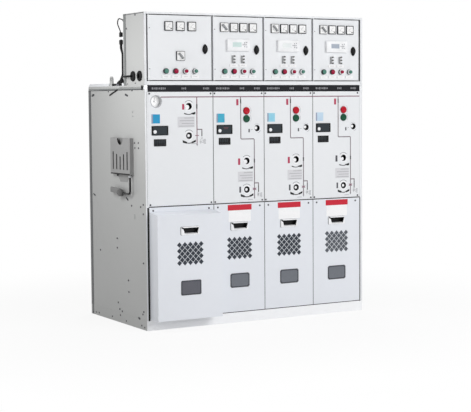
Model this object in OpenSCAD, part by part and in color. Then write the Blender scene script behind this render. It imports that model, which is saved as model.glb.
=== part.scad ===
// Four-bay medium-voltage switchgear: a sheet-metal cabinet with a low-voltage box on its roof.
// Millimetres. +X runs right seen from the front, +Y to the back, +Z up.
// The origin is on the floor, at the middle of the base.

/* [Cabinet] */
// Width of the first bay
first_bay_w = 397; // [380:1:460]
// Width of each of the other three bays
bay_w = 325; // [315:1:380]
// Width of the white strip at each end of the front
edge_w = 18; // [16:1:26]
// Depth of the cabinet
cab_d = 740; // [680:5:840]
// Height of the base frame
plinth_h = 56; // [44:1:90]
// Height of the line between cable covers and front panels
split_z = 670; // [655:1:680]
// Height of the lower edge of the name strip
strip_z = 1290; // [1285:1:1320]
// Height of the name strip
strip_h = 32; // [26:1:40]
// Thickness of the sheet metal
sheet = 2; // [1.5:0.1:3]
// Gap between fixed front panels
panel_gap = 4; // [2:0.5:6]

/* [Base frame] */
// Width of the frame's flanges
flange_w = 50; // [40:1:70]
// Thickness of the frame's steel
flange_t = 4; // [3:0.5:6]
// Radius of the anchor holes
anchor_r = 7; // [5:0.5:9]
// Distance of the anchor holes from the ends of the base
anchor_inset = 90; // [60:1:140]

/* [Roof] */
// Height of the folded edge of the roof
roof_edge_h = 20; // [14:1:26]
// Gap under the folded edge
roof_gap = 3; // [2:0.5:6]
// Depth of the raised cover at the rear of the roof
rear_cover_d = 280; // [220:1:330]
// Height that the rear cover stands above the roof
rear_cover_rise = 14; // [12:1:30]
// Radius of the rear cover's back edge
rear_cover_r = 30; // [16:1:31]

/* [Cable covers] */
// How far the first cover stands out
bulge_d = 95; // [60:1:120]
// Height of the flat flange above the first cover's box
bulge_flange_h = 26; // [22:1:36]
// Fall of the first cover's shelf towards the front
shelf_drop = 12; // [4:1:20]
// Height of the middle of the grips
grip_z = 540; // [500:1:560]
// Width of a grip's rim
grip_w = 111; // [90:1:130]
// Height of a grip's rim
grip_h = 45; // [40:1:54]
// Depth of a grip's cup
grip_d = 24; // [18:1:30]
// Height of the middle of the vents
vent_z = 417; // [400:1:430]
// Distance between holes along a row of the vent
vent_pitch_x = 33; // [31:0.5:36]
// Distance between rows of the vent
vent_pitch_z = 16.3; // [16:0.1:18]
// Width of a vent hole
vent_w = 30; // [16:0.5:30]
// Height of a vent hole
vent_h = 30; // [18:0.5:30]
// Height of the middle of the inspection windows
window_z = 234; // [200:1:260]
// Width of an inspection window
window_w = 123; // [100:1:150]
// Height of an inspection window
window_h = 84; // [70:1:110]

/* [Front panels] */
// Radius of the holes for the operating sockets
socket_r = 20; // [18:0.5:23]
// Radius of the holes for the charging sockets
charge_r = 15.5; // [13:0.5:17]
// Depth of the operating sockets
socket_d = 24; // [18:1:34]
// Radius of the hole for the pressure gauge
gauge_r = 33; // [28:0.5:38]
// Depth of the gauge's face behind the panel
gauge_recess = 27; // [8:1:32]
// Radius of the breaker push-buttons
button_r = 19.5; // [16:0.5:20]
// Height of the push-buttons in front of the panel
button_proud = 9; // [8:0.5:14]

/* [Low-voltage box] */
// Height of the low-voltage box
lv_h = 388; // [380:1:440]
// Depth of the low-voltage box
lv_d = 255; // [220:1:320]
// Gap round the doors
door_gap = 8; // [7:0.5:10]
// Depth of the doors
door_d = 18; // [16:1:22]
// Height of the lip under the doors
lip_low_h = 21; // [16:1:26]
// Height of the lip over the doors
lip_top_h = 11; // [9:1:16]
// Radius of the hinge pins
hinge_r = 3; // [2:0.5:4]
// Distance of the hinge axis from the door's corner, both ways
hinge_inset = 6.5; // [6:0.5:7]

/* [Instruments] */
// Width of a square panel meter
meter_w = 50; // [46:1:54]
// Distance between meters in the first bay
meter_pitch_first = 70; // [62:1:84]
// Distance between meters in the other bays
meter_pitch = 60.5; // [57:0.5:64]
// Width of the protection relay
relay_w = 144; // [130:1:170]
// Height of the protection relay
relay_h = 65; // [56:1:76]
// Radius of a signal lamp
lamp_r = 15; // [12:0.5:17]
// Distance between lamps
lamp_pitch = 59; // [50:1:64]

/* [Left side] */
// Width of the document holder
holder_w = 252; // [200:1:300]
// Height of the document holder
holder_h = 201; // [170:1:230]
// Depth of the document holder
holder_d = 22; // [16:1:30]
// Radius of the stored lever's rod
lever_r = 6; // [5:0.5:10]

/* [Hidden] */
$fn = 64;

// One overrun serves all cuts
over = 1;
bays = [0 : 3];
breaker_bays = [1 : 3];

// Overall places
cab_w = first_bay_w + 3 * bay_w + 2 * edge_w;
half_w = cab_w / 2;
front_y = -cab_d / 2;
back_y = cab_d / 2;
roof_z = strip_z + strip_h;
lv_top_z = roof_z + lv_h;
lv_back_y = front_y + lv_d;

function bay_left(i) = -half_w + edge_w + (i == 0 ? 0 : first_bay_w + (i - 1) * bay_w);
function bay_right(i) = -half_w + edge_w + first_bay_w + i * bay_w;
function bay_mid(i) = (bay_left(i) + bay_right(i)) / 2;
function bay_width(i) = bay_right(i) - bay_left(i);

// Sides and rear
side_top_z = roof_z - roof_edge_h - roof_gap;
rear_slot_w = 20;
rear_slot_d = 14;
side_back_y = back_y - rear_slot_w;

// Inner frame
post_w = 40;
end_post_w = 28;
post_d = 26;
rail_h = 34;
frame_y = front_y + sheet;
frame_back_y = frame_y + post_d;
tank_z = split_z + rail_h / 2;
tank_top_gap = 42;
tank_inset = 44;
tank_front_room = 220;
tank_rear_room = 40;

// Front panels
panel_low_z = split_z + panel_gap;
panel_top_z = strip_z - panel_gap;
cover_low_z = plinth_h + panel_gap;
cover_top_z = split_z - panel_gap;
panel_h = panel_top_z - panel_low_z;
seat_gap = 0.2;

// Sockets sit right of each bay's middle, at shares of the bay's width and of the panel's height
first_socket_x_share = 0.121;
socket_x_share = 0.148;
charge_x_share = 0.357;
first_socket_shares = [0.871, 0.611];
socket_shares = [0.371, 0.110];
charge_share = 0.667;
socket_wall = 4;
socket_floor = 5;
socket_flange_w = 2.5;
socket_flange_t = 2;

// Gauge
gauge_x = 50;
gauge_share = 0.915;
gauge_wall = 3;
gauge_body_d = 46;
gauge_proud = 1.5;

// Indicator plates and voltage displays
unit_x = 70.5;
unit_w = 99;
unit_h = 51;
unit_t = 4;
unit_share = 0.660;
knob_r = 10.5;
knob_t = 4;
knob_x = -27;
knob_z = -6;
display_w = 73;
display_h = 38;
display_t = 3;
display_share = 0.554;

// Push-buttons
button_gap = 0.5;
button_tail = 26;
red_share = 0.826;
green_share = 0.754;

// Cover details
bulge_y = front_y - bulge_d;
shelf_z = cover_top_z - bulge_flange_h;
vent_rows = [0 : 6];
grip_rim_t = 1.5;
grip_rim_w = 5;
grip_rim_r = 6;
grip_wall = 2;
grip_taper = 11;
window_r = 9;
window_lip = 5;
window_t = 4;
window_proud = 1;

// Low-voltage box
lv_flange_w = edge_w - door_gap / 2;
lip_gap = 5;
door_low_z = roof_z + lip_low_h + lip_gap;
door_top_z = lv_top_z - lip_top_h - lip_gap;
door_h = door_top_z - door_low_z;
door_back_y = front_y + door_d;
hinge_clear = 0.1;
hinge_bite = 12;
stop_gap = 6;
stop_w = 40;
stop_t = 3;
stop_y = door_back_y + stop_gap;

function door_left(i) = bay_left(i) + door_gap / 2;
function door_right(i) = bay_right(i) - door_gap / 2;

// Locks
lock_inset = 48;
lock_share = 0.485;
lock_w = 30;
lock_h = 54;
lock_t = 14;
lock_shaft_r = 9;
lock_clear = 0.1;
lock_gap = 0.3;
cam_gap = 3;
cam_t = 4;
cam_w = 16;
cam_l = 36;
cam_y = stop_y + stop_t + cam_gap;

// Instruments, at shares of the door's height
meter_share = 0.834;
relay_share = 0.555;
link_share = 0.333;
lamp_share = 0.140;
selector_share = 0.376;
low_shift = -4;
meter_t = 8;
meter_rim = 2.5;
meter_body_d = 52;
relay_t = 15;
relay_rim = 6;
relay_body_d = 70;
link_w = 30;
link_h = 47;
link_t = 9;
lamp_t = 18;
press_t = 25;
lamp_body_r = 11;
lamp_body_d = 46;
selector_t = 8;
selector_knob_w = 11;
selector_knob_t = 10;
selector_body_r = 15;
cut_gap = 0.4;

// Glands, leads and their fittings
gland_r = 28;
gland_bore_r = 14;
gland_sleeve_r = 21;
gland_sleeve_d = 12;
gland_t = 9;
gland_rise = 49;
gland_z = roof_z + gland_rise;
gland_shares = [0.529, 0.212];
lead_d = 10;
loop_d = 6;
lead_sides = 10;
lead_steps = 4;
// The leads' points are given from the lower left corner of the box's back
lead_gland = [[-9, -120, 49], [-12, -120, 49], [-15, -120, 49], [-22, -111, 48], [-25, -85, 46],
  [-23, -50, 45], [-14, -8, 48], [-2, 12, 64], [6, 20, 98], [6, 20, 150], [6, 24, 180], [8, 36, 198],
  [10, 48.5, 214], [10, 48.5, 220], [10, 48.5, 226]];
lead_roof = [[18, 105, 30], [18, 105, 36], [18, 105, 42], [18, 96, 62], [17, 66, 80], [17, 36, 98],
  [18, 22, 124], [18, 20, 155], [17, 26, 184], [13, 48, 203], [10, 59.5, 214], [10, 59.5, 220],
  [10, 59.5, 226]];
lead_loop = [[10, 54, 293], [10, 54, 297], [10, 54, 301], [10, 66, 309], [10, 88, 320], [10, 100, 338],
  [10, 86, 356], [10, 57, 365], [10, 32, 359], [10, 16, 349], [10, 10, 347], [10, 5, 347], [10, 0, 347]];
plug_w = 14;
plug_d = 24;
plug_low_h = 26;
plug_top_w = 10;
plug_top_d = 14;
plug_top_h = 26;
plug_neck_w = 8;
plug_neck_h = 15;
plug_bite = 1;
roof_gland_r = 13;
roof_gland_nut_h = 12;
roof_gland_nut_r = 17;

// Lifting eyes
eye_w = 36;
eye_h = 54;
eye_t = 8;
eye_bore_r = 10;
eye_inset = 10;
eye_foot_w = 16;
eye_foot_t = 5;
eye_gap = 3;
eye_y = back_y - rear_cover_d - eye_w / 2 - eye_gap;

// Document holder and stored lever
holder_inset = 146;
holder_y = front_y + holder_inset;
holder_z = 835;
holder_sheet = 1.5;
holder_notch_r = 38;
holder_slot_w = 14;
holder_slot_pitch = 45;
holder_slot_base = 27;
holder_slot_h = 98;
holder_slot_fall = 13;
holder_tongue_h = 42;
holder_tongue_side = 42;
lever_inset = 20;
lever_drop = 100;
lever_hub_r = 16;
lever_hub_t = 18;
lever_arm = 129;
lever_grip_l = 118;
lever_grip_h = 30;
lever_grip_t = 12;
lever_clip_w = 14;
lever_clip_wall = 3;

// Shape helpers
module block(lo, hi) {
  translate(lo) cube(hi - lo);
}

// An outline in X and Z, drawn out from y0 to y1
module along_y(y0, y1) {
  translate([0, y1, 0]) rotate([90, 0, 0]) linear_extrude(y1 - y0) children();
}

// An outline in Y and Z, drawn out from x0 to x1
module along_x(x0, x1) {
  translate([x0, 0, 0]) rotate([90, 0, 90]) linear_extrude(x1 - x0) children();
}

// A round bar along Y
module bar_y(x, z, y0, y1, r) {
  translate([x, y1, z]) rotate([90, 0, 0]) cylinder(r = r, h = y1 - y0);
}

// A round bar along X
module bar_x(y, z, x0, x1, r) {
  translate([x0, y, z]) rotate([0, 90, 0]) cylinder(r = r, h = x1 - x0);
}

// A rectangle with round corners, centred
module round_rect(w, h, r) {
  square([w - 2 * r, h], center = true);
  square([w, h - 2 * r], center = true);
  for (sx = [-1, 1], sz = [-1, 1]) translate([sx * (w / 2 - r), sz * (h / 2 - r)]) circle(r);
}

// An upright outline with half-round ends, centred
module oval(w, h) {
  square([w, h - w], center = true);
  for (s = [-1, 1]) translate([0, s * (h - w) / 2]) circle(w / 2);
}

// A smooth curve through the route's points
function spline(p, i, t) =
  let (a = p[max(i - 1, 0)], b = p[i], c = p[i + 1], d = p[min(i + 2, len(p) - 1)])
  b + t * ((c - a) / 2 + t * (a - 2.5 * b + 2 * c - d / 2 + t * (1.5 * (b - c) + (d - a) / 2)));
function route(p, n) =
  concat([for (i = [0 : len(p) - 2], k = [0 : n - 1]) spline(p, i, k / n)], [p[len(p) - 1]]);
function unit(v) = v / norm(v);
side_guide = [1, 1, 0.5];
function ring(q, i, r, n) =
  let (t = unit(q[min(i + 1, len(q) - 1)] - q[max(i - 1, 0)]), u = unit(cross(t, side_guide)), v = cross(t, u))
  [for (k = [0 : n - 1]) q[i] + r * (cos(360 * k / n) * u + sin(360 * k / n) * v)];

// A tube swept along a route
module lead(points, d) {
  q = route(points, lead_steps);
  n = lead_sides;
  last = len(q) - 1;
  rings = [for (i = [0 : last]) each ring(q, i, d / 2, n)];
  walls = [for (i = [0 : last - 1], k = [0 : n - 1])
    [i * n + k, (i + 1) * n + k, (i + 1) * n + (k + 1) % n, i * n + (k + 1) % n]];
  caps = [[for (k = [0 : n - 1]) k], [for (k = [n - 1 : -1 : 0]) last * n + k]];
  polyhedron(rings, concat(walls, caps));
}

// Welded base frame of channel steel
module frame_ring(inset, z0, z1) {
  difference() {
    block([-half_w, front_y, z0], [half_w, back_y, z1]);
    block([-half_w + inset, front_y + inset, z0 - over], [half_w - inset, back_y - inset, z1 + over]);
  }
}

module base_frame() {
  color("whitesmoke") difference() {
    union() {
      frame_ring(flange_t, 0, plinth_h);
      frame_ring(flange_w, 0, flange_t);
      frame_ring(flange_w, plinth_h - flange_t, plinth_h);
    }
    for (sx = [-1, 1], sy = [-1, 1])
      translate([sx * (half_w - anchor_inset), sy * (back_y - flange_w / 2), -over])
        cylinder(r = anchor_r, h = flange_t + 2 * over);
  }
}

// Side panel with its front strip and a return at the rear slot
module side_sheet() {
  block([-half_w, front_y, plinth_h], [-half_w + edge_w, front_y + sheet, side_top_z]);
  block([-half_w, front_y, plinth_h], [-half_w + sheet, side_back_y, side_top_z]);
  block([-half_w, side_back_y - sheet, plinth_h], [-half_w + rear_slot_d, side_back_y, side_top_z]);
}

module left_side_panel() {
  color("gainsboro") side_sheet();
}

module right_side_panel() {
  color("gainsboro") mirror([1, 0, 0]) side_sheet();
}

module rear_panel() {
  in_w = half_w - rear_slot_d;
  color("gainsboro") {
    block([-half_w, back_y - sheet, plinth_h], [half_w, back_y, side_top_z]);
    for (s = [0, 1]) mirror([s, 0, 0])
      block([-in_w, side_back_y, plinth_h], [-in_w + sheet, back_y, side_top_z]);
  }
}

// Roof tray in front of the rear cover
module roof_panel() {
  rear = back_y - rear_cover_d;
  edge_z = roof_z - roof_edge_h;
  color("whitesmoke") {
    block([-half_w, frame_y, roof_z - sheet], [half_w, rear, roof_z]);
    for (s = [0, 1]) mirror([s, 0, 0])
      block([-half_w, frame_y, edge_z], [-half_w + sheet, rear, roof_z]);
  }
}

// Raised hollow cover over the rear of the roof
module rear_cover_profile(t) {
  low = roof_z - roof_edge_h;
  top = roof_z + rear_cover_rise - t;
  fore = back_y - rear_cover_d + t;
  aft = back_y - t;
  r = rear_cover_r - t;
  translate([fore, low - t]) square([aft - fore - r, top - low + t]);
  translate([fore, low - t]) square([aft - fore, top - low + t - r]);
  intersection() {
    translate([aft - r, top - r]) circle(r);
    translate([fore, low - t]) square([aft - fore, top - low + t]);
  }
}

module rear_roof_cover() {
  color("whitesmoke") difference() {
    along_x(-half_w, half_w) rear_cover_profile(0);
    along_x(-half_w + sheet, half_w - sheet) rear_cover_profile(sheet);
  }
}

// Uprights and rails that the front panels and the roof are fixed to
module front_frame() {
  top = roof_z - sheet;
  low_x = -half_w + sheet;
  color("silver") {
    for (s = [0, 1]) mirror([s, 0, 0])
      block([low_x, frame_y, plinth_h], [low_x + end_post_w, frame_back_y, top]);
    for (i = [0 : 2])
      block([bay_right(i) - post_w / 2, frame_y, plinth_h], [bay_right(i) + post_w / 2, frame_back_y, top]);
    block([low_x, frame_y, plinth_h], [-low_x, frame_back_y, plinth_h + rail_h / 2]);
    block([low_x, frame_y, split_z - rail_h / 2], [-low_x, frame_back_y, split_z + rail_h / 2]);
    block([low_x, frame_y, strip_z - rail_h / 2], [-low_x, frame_back_y, top]);
  }
}

// Sheets between the cable compartments, which carry the tank
module bay_partitions() {
  color("silver") for (i = [0 : 2])
    block([bay_right(i) - sheet / 2, frame_back_y, plinth_h],
      [bay_right(i) + sheet / 2, back_y - sheet, tank_z]);
}

// Sealed steel tank behind the front panels
module gas_tank() {
  color("silver") block([-half_w + tank_inset, front_y + tank_front_room, tank_z],
    [half_w - tank_inset, back_y - tank_rear_room, roof_z - tank_top_gap]);
}

// Places on a front panel, by share of the bay's width and of the panel's height
function share_z(s) = panel_low_z + s * panel_h;
function socket_x(i) = bay_mid(i) + bay_width(i) * (i == 0 ? first_socket_x_share : socket_x_share);
function charge_x(i) = bay_mid(i) + bay_width(i) * charge_x_share;

// Front panel with its holes
module front_panel(i) {
  x0 = bay_left(i) + (i == 0 ? seat_gap : panel_gap / 2);
  x1 = bay_right(i) - (i == 3 ? seat_gap : panel_gap / 2);
  color("whitesmoke") difference() {
    block([x0, front_y, panel_low_z], [x1, front_y + sheet, panel_top_z]);
    for (s = i == 0 ? first_socket_shares : socket_shares)
      panel_hole(socket_x(i), share_z(s), socket_r);
    if (i == 0) panel_hole(bay_left(i) + gauge_x, share_z(gauge_share), gauge_r);
    if (i > 0) {
      panel_hole(charge_x(i), share_z(charge_share), charge_r);
      for (s = [red_share, green_share])
        panel_hole(socket_x(i), share_z(s), button_r + button_gap);
    }
  }
}

module panel_hole(x, z, r) {
  bar_y(x, z, front_y - over, front_y + sheet + over, r);
}

// Openings shared by all cable covers, cut at the face's own depth
module cover_cuts(i, face_y) {
  translate([bay_mid(i), 0, 0]) along_y(face_y - over, face_y + sheet + over) {
    vent_holes();
    translate([0, grip_z]) grip_outline(seat_gap);
    translate([0, window_z])
      round_rect(window_w - 2 * window_lip, window_h - 2 * window_lip, window_r - window_lip);
  }
}

// Staggered rows of diamond holes
module vent_holes() {
  for (row = vent_rows) {
    count = row % 2 == 0 ? 5 : 4;
    for (k = [0 : count - 1])
      translate([(k - (count - 1) / 2) * vent_pitch_x, vent_z + (row - 3) * vent_pitch_z])
        polygon([[vent_w / 2, 0], [0, vent_h / 2], [-vent_w / 2, 0], [0, -vent_h / 2]]);
  }
}

// Outline of a grip's cup, grown by g
module grip_outline(g) {
  top = grip_w / 2 - grip_rim_w + g;
  low = top - grip_taper;
  h = grip_h / 2 - grip_rim_w + g;
  polygon([[-top, h], [top, h], [low, -h], [-low, -h]]);
}

function cover_x0(i) = bay_left(i) + panel_gap / 2;
function cover_x1(i) = bay_right(i) - panel_gap / 2;

// Flat cable cover
module cable_cover(i) {
  color("whitesmoke") difference() {
    block([cover_x0(i), front_y, cover_low_z], [cover_x1(i), front_y + sheet, cover_top_z]);
    cover_cuts(i, front_y);
  }
}

// Side outline of the deep cover's box, inside the sheet when t is its thickness
module bulge_profile(t, back) {
  polygon([[back, cover_low_z + t], [bulge_y + t, cover_low_z + t],
    [bulge_y + t, shelf_z - shelf_drop - t], [back, shelf_z - t]]);
}

// Deep cable cover of the first bay: a box with a flat flange above it
module cable_cover_1() {
  color("whitesmoke") difference() {
    union() {
      block([cover_x0(0), front_y, cover_low_z], [cover_x1(0), front_y + sheet, cover_top_z]);
      along_x(cover_x0(0), cover_x1(0)) bulge_profile(0, front_y + sheet);
    }
    along_x(cover_x0(0) + sheet, cover_x1(0) - sheet) bulge_profile(sheet, front_y + sheet + over);
    cover_cuts(0, bulge_y);
  }
}

function face_y(i) = i == 0 ? bulge_y : front_y;

// Recessed grips, one in each cover
module cover_grips() {
  color("dimgray") for (i = bays) translate([bay_mid(i), face_y(i), grip_z]) difference() {
    union() {
      along_y(-grip_rim_t, 0) round_rect(grip_w, grip_h, grip_rim_r);
      along_y(-grip_rim_t, grip_d) grip_outline(0);
    }
    along_y(-grip_rim_t - over, grip_d - grip_wall) grip_outline(-grip_wall);
  }
}

// Dark panes set into the covers
module inspection_windows() {
  color("dimgray") for (i = bays) translate([bay_mid(i), face_y(i), window_z]) {
    along_y(-window_proud, 0) round_rect(window_w, window_h, window_r);
    along_y(-window_proud, window_t)
      round_rect(window_w - 2 * window_lip - 2 * seat_gap, window_h - 2 * window_lip - 2 * seat_gap,
        window_r - window_lip - seat_gap);
  }
}

module name_strip() {
  color("black") block([-half_w + edge_w + seat_gap, front_y, strip_z],
    [half_w - edge_w - seat_gap, front_y + sheet, roof_z]);
}

// Lever socket: a flanged cup set in a panel hole
module socket(x, z, r) {
  difference() {
    union() {
      bar_y(x, z, front_y - socket_flange_t, front_y, r + socket_flange_w);
      bar_y(x, z, front_y - socket_flange_t, front_y + socket_d + socket_floor, r - seat_gap);
    }
    bar_y(x, z, front_y - socket_flange_t - over, front_y + socket_d, r - seat_gap - socket_wall);
  }
}

module operating_sockets() {
  color("black") {
    for (s = first_socket_shares) socket(socket_x(0), share_z(s), socket_r);
    for (i = breaker_bays) {
      for (s = socket_shares) socket(socket_x(i), share_z(s), socket_r);
      socket(charge_x(i), share_z(charge_share), charge_r);
    }
  }
}

// Gas pressure gauge, its face behind the panel
module pressure_gauge() {
  x = bay_left(0) + gauge_x;
  z = share_z(gauge_share);
  color("silver") difference() {
    union() {
      bar_y(x, z, front_y - gauge_proud, front_y, gauge_r + gauge_proud);
      bar_y(x, z, front_y - gauge_proud, front_y + gauge_body_d, gauge_r - seat_gap);
    }
    bar_y(x, z, front_y - gauge_proud - over, front_y + gauge_recess, gauge_r - seat_gap - gauge_wall);
  }
}

// Black indicator plates with a round knob
module indicator_units() {
  z = share_z(unit_share);
  color("black") for (i = bays) {
    x = bay_left(i) + unit_x;
    block([x - unit_w / 2, front_y - unit_t, z - unit_h / 2], [x + unit_w / 2, front_y, z + unit_h / 2]);
    bar_y(x + knob_x, z + knob_z, front_y - unit_t - knob_t, front_y - unit_t, knob_r);
  }
}

module voltage_displays() {
  z = share_z(display_share);
  color("black") for (i = bays) {
    x = bay_left(i) + unit_x;
    block([x - display_w / 2, front_y - display_t, z - display_h / 2],
      [x + display_w / 2, front_y, z + display_h / 2]);
  }
}

// Side sheet of the low-voltage box with its front strip
module lv_side() {
  block([-half_w, front_y, roof_z], [-half_w + sheet, lv_back_y, lv_top_z]);
  block([-half_w, front_y, roof_z], [-half_w + lv_flange_w, front_y + sheet, lv_top_z]);
}

module lv_left_side() {
  color("gainsboro") difference() {
    lv_side();
    for (s = gland_shares)
      bar_x(front_y + s * lv_d, gland_z, -half_w - over, -half_w + sheet + over, gland_sleeve_r);
  }
}

module lv_right_side() {
  color("gainsboro") mirror([1, 0, 0]) lv_side();
}

function hinge_x(i) = door_left(i) + hinge_inset;
hinge_y = front_y + hinge_inset;

// Sheet between the side sheets at height z0, with room for the front strips
module lv_sheet(z0) {
  block([-half_w + sheet, frame_y, z0], [half_w - sheet, lv_back_y, z0 + sheet]);
  block([-half_w + lv_flange_w, front_y, z0], [half_w - lv_flange_w, frame_y, z0 + sheet]);
}

module hinge_pin(i, z0, z1) {
  translate([hinge_x(i), hinge_y, z0]) cylinder(r = hinge_r, h = z1 - z0);
}

module lv_top() {
  color("whitesmoke") {
    lv_sheet(lv_top_z - sheet);
    block([-half_w + lv_flange_w, front_y, lv_top_z - lip_top_h], [half_w - lv_flange_w, frame_y, lv_top_z]);
    for (i = bays) hinge_pin(i, door_top_z - hinge_bite, lv_top_z - sheet);
  }
}

module lv_bottom() {
  color("whitesmoke") {
    lv_sheet(roof_z);
    block([-half_w + lv_flange_w, front_y, roof_z], [half_w - lv_flange_w, frame_y, roof_z + lip_low_h]);
    for (i = bays) hinge_pin(i, roof_z + sheet, door_low_z + hinge_bite);
  }
}

module lv_back() {
  color("gainsboro") block([-half_w + sheet, lv_back_y - sheet, roof_z + sheet],
    [half_w - sheet, lv_back_y, lv_top_z - sheet]);
}

// Flat bars that the doors close against
module lv_posts() {
  color("gainsboro") for (i = bays) {
    x1 = i == 3 ? half_w - sheet : bay_right(i) + stop_w / 2;
    block([bay_right(i) - stop_w / 2, stop_y, roof_z + sheet], [x1, stop_y + stop_t, lv_top_z - sheet]);
  }
}

// Rubber glands in the left side: the rear one is filled by the lead
module cable_glands() {
  color("black") for (k = [0, 1]) {
    y = front_y + gland_shares[k] * lv_d;
    difference() {
      union() {
        bar_x(y, gland_z, -half_w - gland_t, -half_w, gland_r);
        bar_x(y, gland_z, -half_w - gland_t, -half_w + gland_sleeve_d, gland_sleeve_r - seat_gap);
      }
      if (k == 1) bar_x(y, gland_z, -half_w - gland_t - over, -half_w + gland_sleeve_d + over, gland_bore_r);
    }
  }
}

module wiring_leads() {
  color("black") translate([-half_w, lv_back_y, roof_z]) {
    lead(lead_gland, lead_d);
    lead(lead_roof, lead_d);
    lead(lead_loop, loop_d);
  }
}

// A block centred on x and y, standing at z
module centred_block(w, d, h) {
  block([-w / 2, -d / 2, 0], [w / 2, d / 2, h]);
}

// Two-part plug on a bracket behind the box, and the gland where the lead enters the roof
module wiring_fittings() {
  end = lead_loop[0];
  foot = lead_roof[0];
  neck_z = end.z - plug_top_h - plug_neck_h;
  color("black") translate([-half_w, lv_back_y, roof_z]) {
    translate([end.x, end.y, neck_z - plug_low_h]) centred_block(plug_w, plug_d, plug_low_h);
    translate([end.x, end.y, end.z - plug_top_h]) centred_block(plug_top_w, plug_top_d, plug_top_h);
    block([end.x - plug_neck_w / 2, 0, neck_z - plug_bite],
      [end.x + plug_neck_w / 2, end.y + plug_neck_w / 2, neck_z + plug_neck_h + plug_bite]);
    translate([foot.x, foot.y, 0]) cylinder(r = roof_gland_nut_r, h = roof_gland_nut_h, $fn = 6);
    translate([foot.x, foot.y, 0]) cylinder(r = roof_gland_r, h = foot.z);
  }
}

// Lifting eye plates on the roof
module lifting_eye() {
  x = -half_w + eye_inset;
  r = eye_w / 2;
  difference() {
    union() {
      along_x(x - eye_t / 2, x + eye_t / 2) {
        translate([eye_y - r, roof_z]) square([eye_w, eye_h - r]);
        translate([eye_y, roof_z + eye_h - r]) circle(r);
      }
      block([x - eye_foot_w / 2, eye_y - r, roof_z], [x + eye_foot_w / 2, eye_y + r, roof_z + eye_foot_t]);
    }
    bar_x(eye_y, roof_z + eye_h - r, x - eye_t, x + eye_t, eye_bore_r);
  }
}

module lifting_eyes() {
  color("gainsboro") for (s = [0, 1]) mirror([s, 0, 0]) lifting_eye();
}

// Document holder on the left side, open at the top
module document_holder() {
  x0 = -half_w - holder_d;
  y1 = holder_y + holder_w;
  mid = holder_y + holder_w / 2;
  top = holder_z + holder_h;
  color("gainsboro") difference() {
    union() {
      block([x0, holder_y, holder_z], [-half_w, y1, top]);
      along_x(-half_w - holder_sheet, -half_w) polygon([
        [holder_y + holder_tongue_side, holder_z + holder_sheet],
        [y1 - holder_tongue_side, holder_z + holder_sheet],
        [y1 - 2 * holder_tongue_side, holder_z - holder_tongue_h],
        [holder_y + 2 * holder_tongue_side, holder_z - holder_tongue_h]]);
    }
    block([x0 + holder_sheet, holder_y + holder_sheet, holder_z + holder_sheet],
      [-half_w - holder_sheet, y1 - holder_sheet, top + over]);
    bar_x(mid, top, x0 - over, x0 + holder_sheet + over, holder_notch_r);
    for (k = [-2 : 2])
      block([x0 - over, mid + k * holder_slot_pitch - holder_slot_w / 2, holder_z + holder_slot_base],
        [x0 + holder_sheet + over, mid + k * holder_slot_pitch + holder_slot_w / 2,
          holder_z + holder_slot_base + holder_slot_h - (2 - abs(k)) * holder_slot_fall]);
  }
}

// Stored operating lever: rod, arm, hub and flat grip, held by two clips
module operating_lever() {
  x = -half_w - lever_inset;
  y = holder_y + lever_r;
  top = holder_z - lever_clip_wall;
  z = top - lever_drop;
  hub_y = y + lever_arm;
  color("black") {
    translate([x, y, z]) cylinder(r = lever_r, h = lever_drop);
    translate([x, y, z]) sphere(lever_r);
    bar_y(x, z, y, hub_y, lever_r);
    bar_x(hub_y, z, x - lever_hub_t / 2, x + lever_hub_t / 2, lever_hub_r);
    along_x(x - lever_grip_t / 2, x + lever_grip_t / 2)
      translate([hub_y + lever_grip_l / 2, z]) round_rect(lever_grip_l, lever_grip_h, lever_grip_h / 3);
    for (cy = [y + lever_arm / 3, hub_y + lever_grip_l * 0.6])
      block([x, cy - lever_clip_w / 2, z - lever_r / 2], [-half_w, cy + lever_clip_w / 2, z + lever_r / 2]);
  }
}

// Instruments of a door: places along X and as shares of the door's height
function door_z(s) = door_low_z + s * door_h;
function row_x(i, n, pitch, k) = bay_mid(i) + (k - (n - 1) / 2) * pitch;
// Relay, links and lamps sit a little left of the bay's middle
function low_x(i, n, k) = row_x(i, n, lamp_pitch, k) + low_shift;
// The first two of a lamp row are lamps, the others are push-buttons
function lamp_proud(k) = k < 2 ? lamp_t : press_t;
function meter_n(i) = i == 0 ? 3 : 4;
function meter_step(i) = i == 0 ? meter_pitch_first : meter_pitch;
// The last three doors have their selector in the first place of the meter row
function first_meter(i) = i == 0 ? 0 : 1;
function selector_at(i) = i == 0 ? [bay_mid(i), door_z(selector_share)]
  : [row_x(i, meter_n(i), meter_step(i), 0), door_z(meter_share)];

// A box through the door at x and z, grown by g
module through_box(x, z, w, h, d, g) {
  block([x - w / 2 - g, front_y - (g > 0 ? over : 0), z - h / 2 - g],
    [x + w / 2 + g, front_y + d, z + h / 2 + g]);
}

// The instruments' bodies behind the door, grown by g for the door's own holes
module instrument_bodies(i, g, cut) {
  body_w = meter_w - 2 * meter_rim;
  for (k = [first_meter(i) : meter_n(i) - 1])
    through_box(row_x(i, meter_n(i), meter_step(i), k), door_z(meter_share), body_w, body_w,
      cut ? sheet + over : meter_body_d, g);
  bar_y(selector_at(i).x, selector_at(i).y, front_y - (cut ? over : 0),
    front_y + (cut ? sheet + over : meter_body_d), selector_body_r + g);
  if (i > 0) through_box(low_x(i, 1, 0), door_z(relay_share), relay_w - 2 * relay_rim, relay_h - 2 * relay_rim,
    cut ? sheet + over : relay_body_d, g);
  for (k = [0 : 3]) bar_y(low_x(i, 4, k), door_z(lamp_share), front_y - (cut ? over : 0),
    front_y + (cut ? sheet + over : lamp_body_d), lamp_body_r + g);
}

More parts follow.
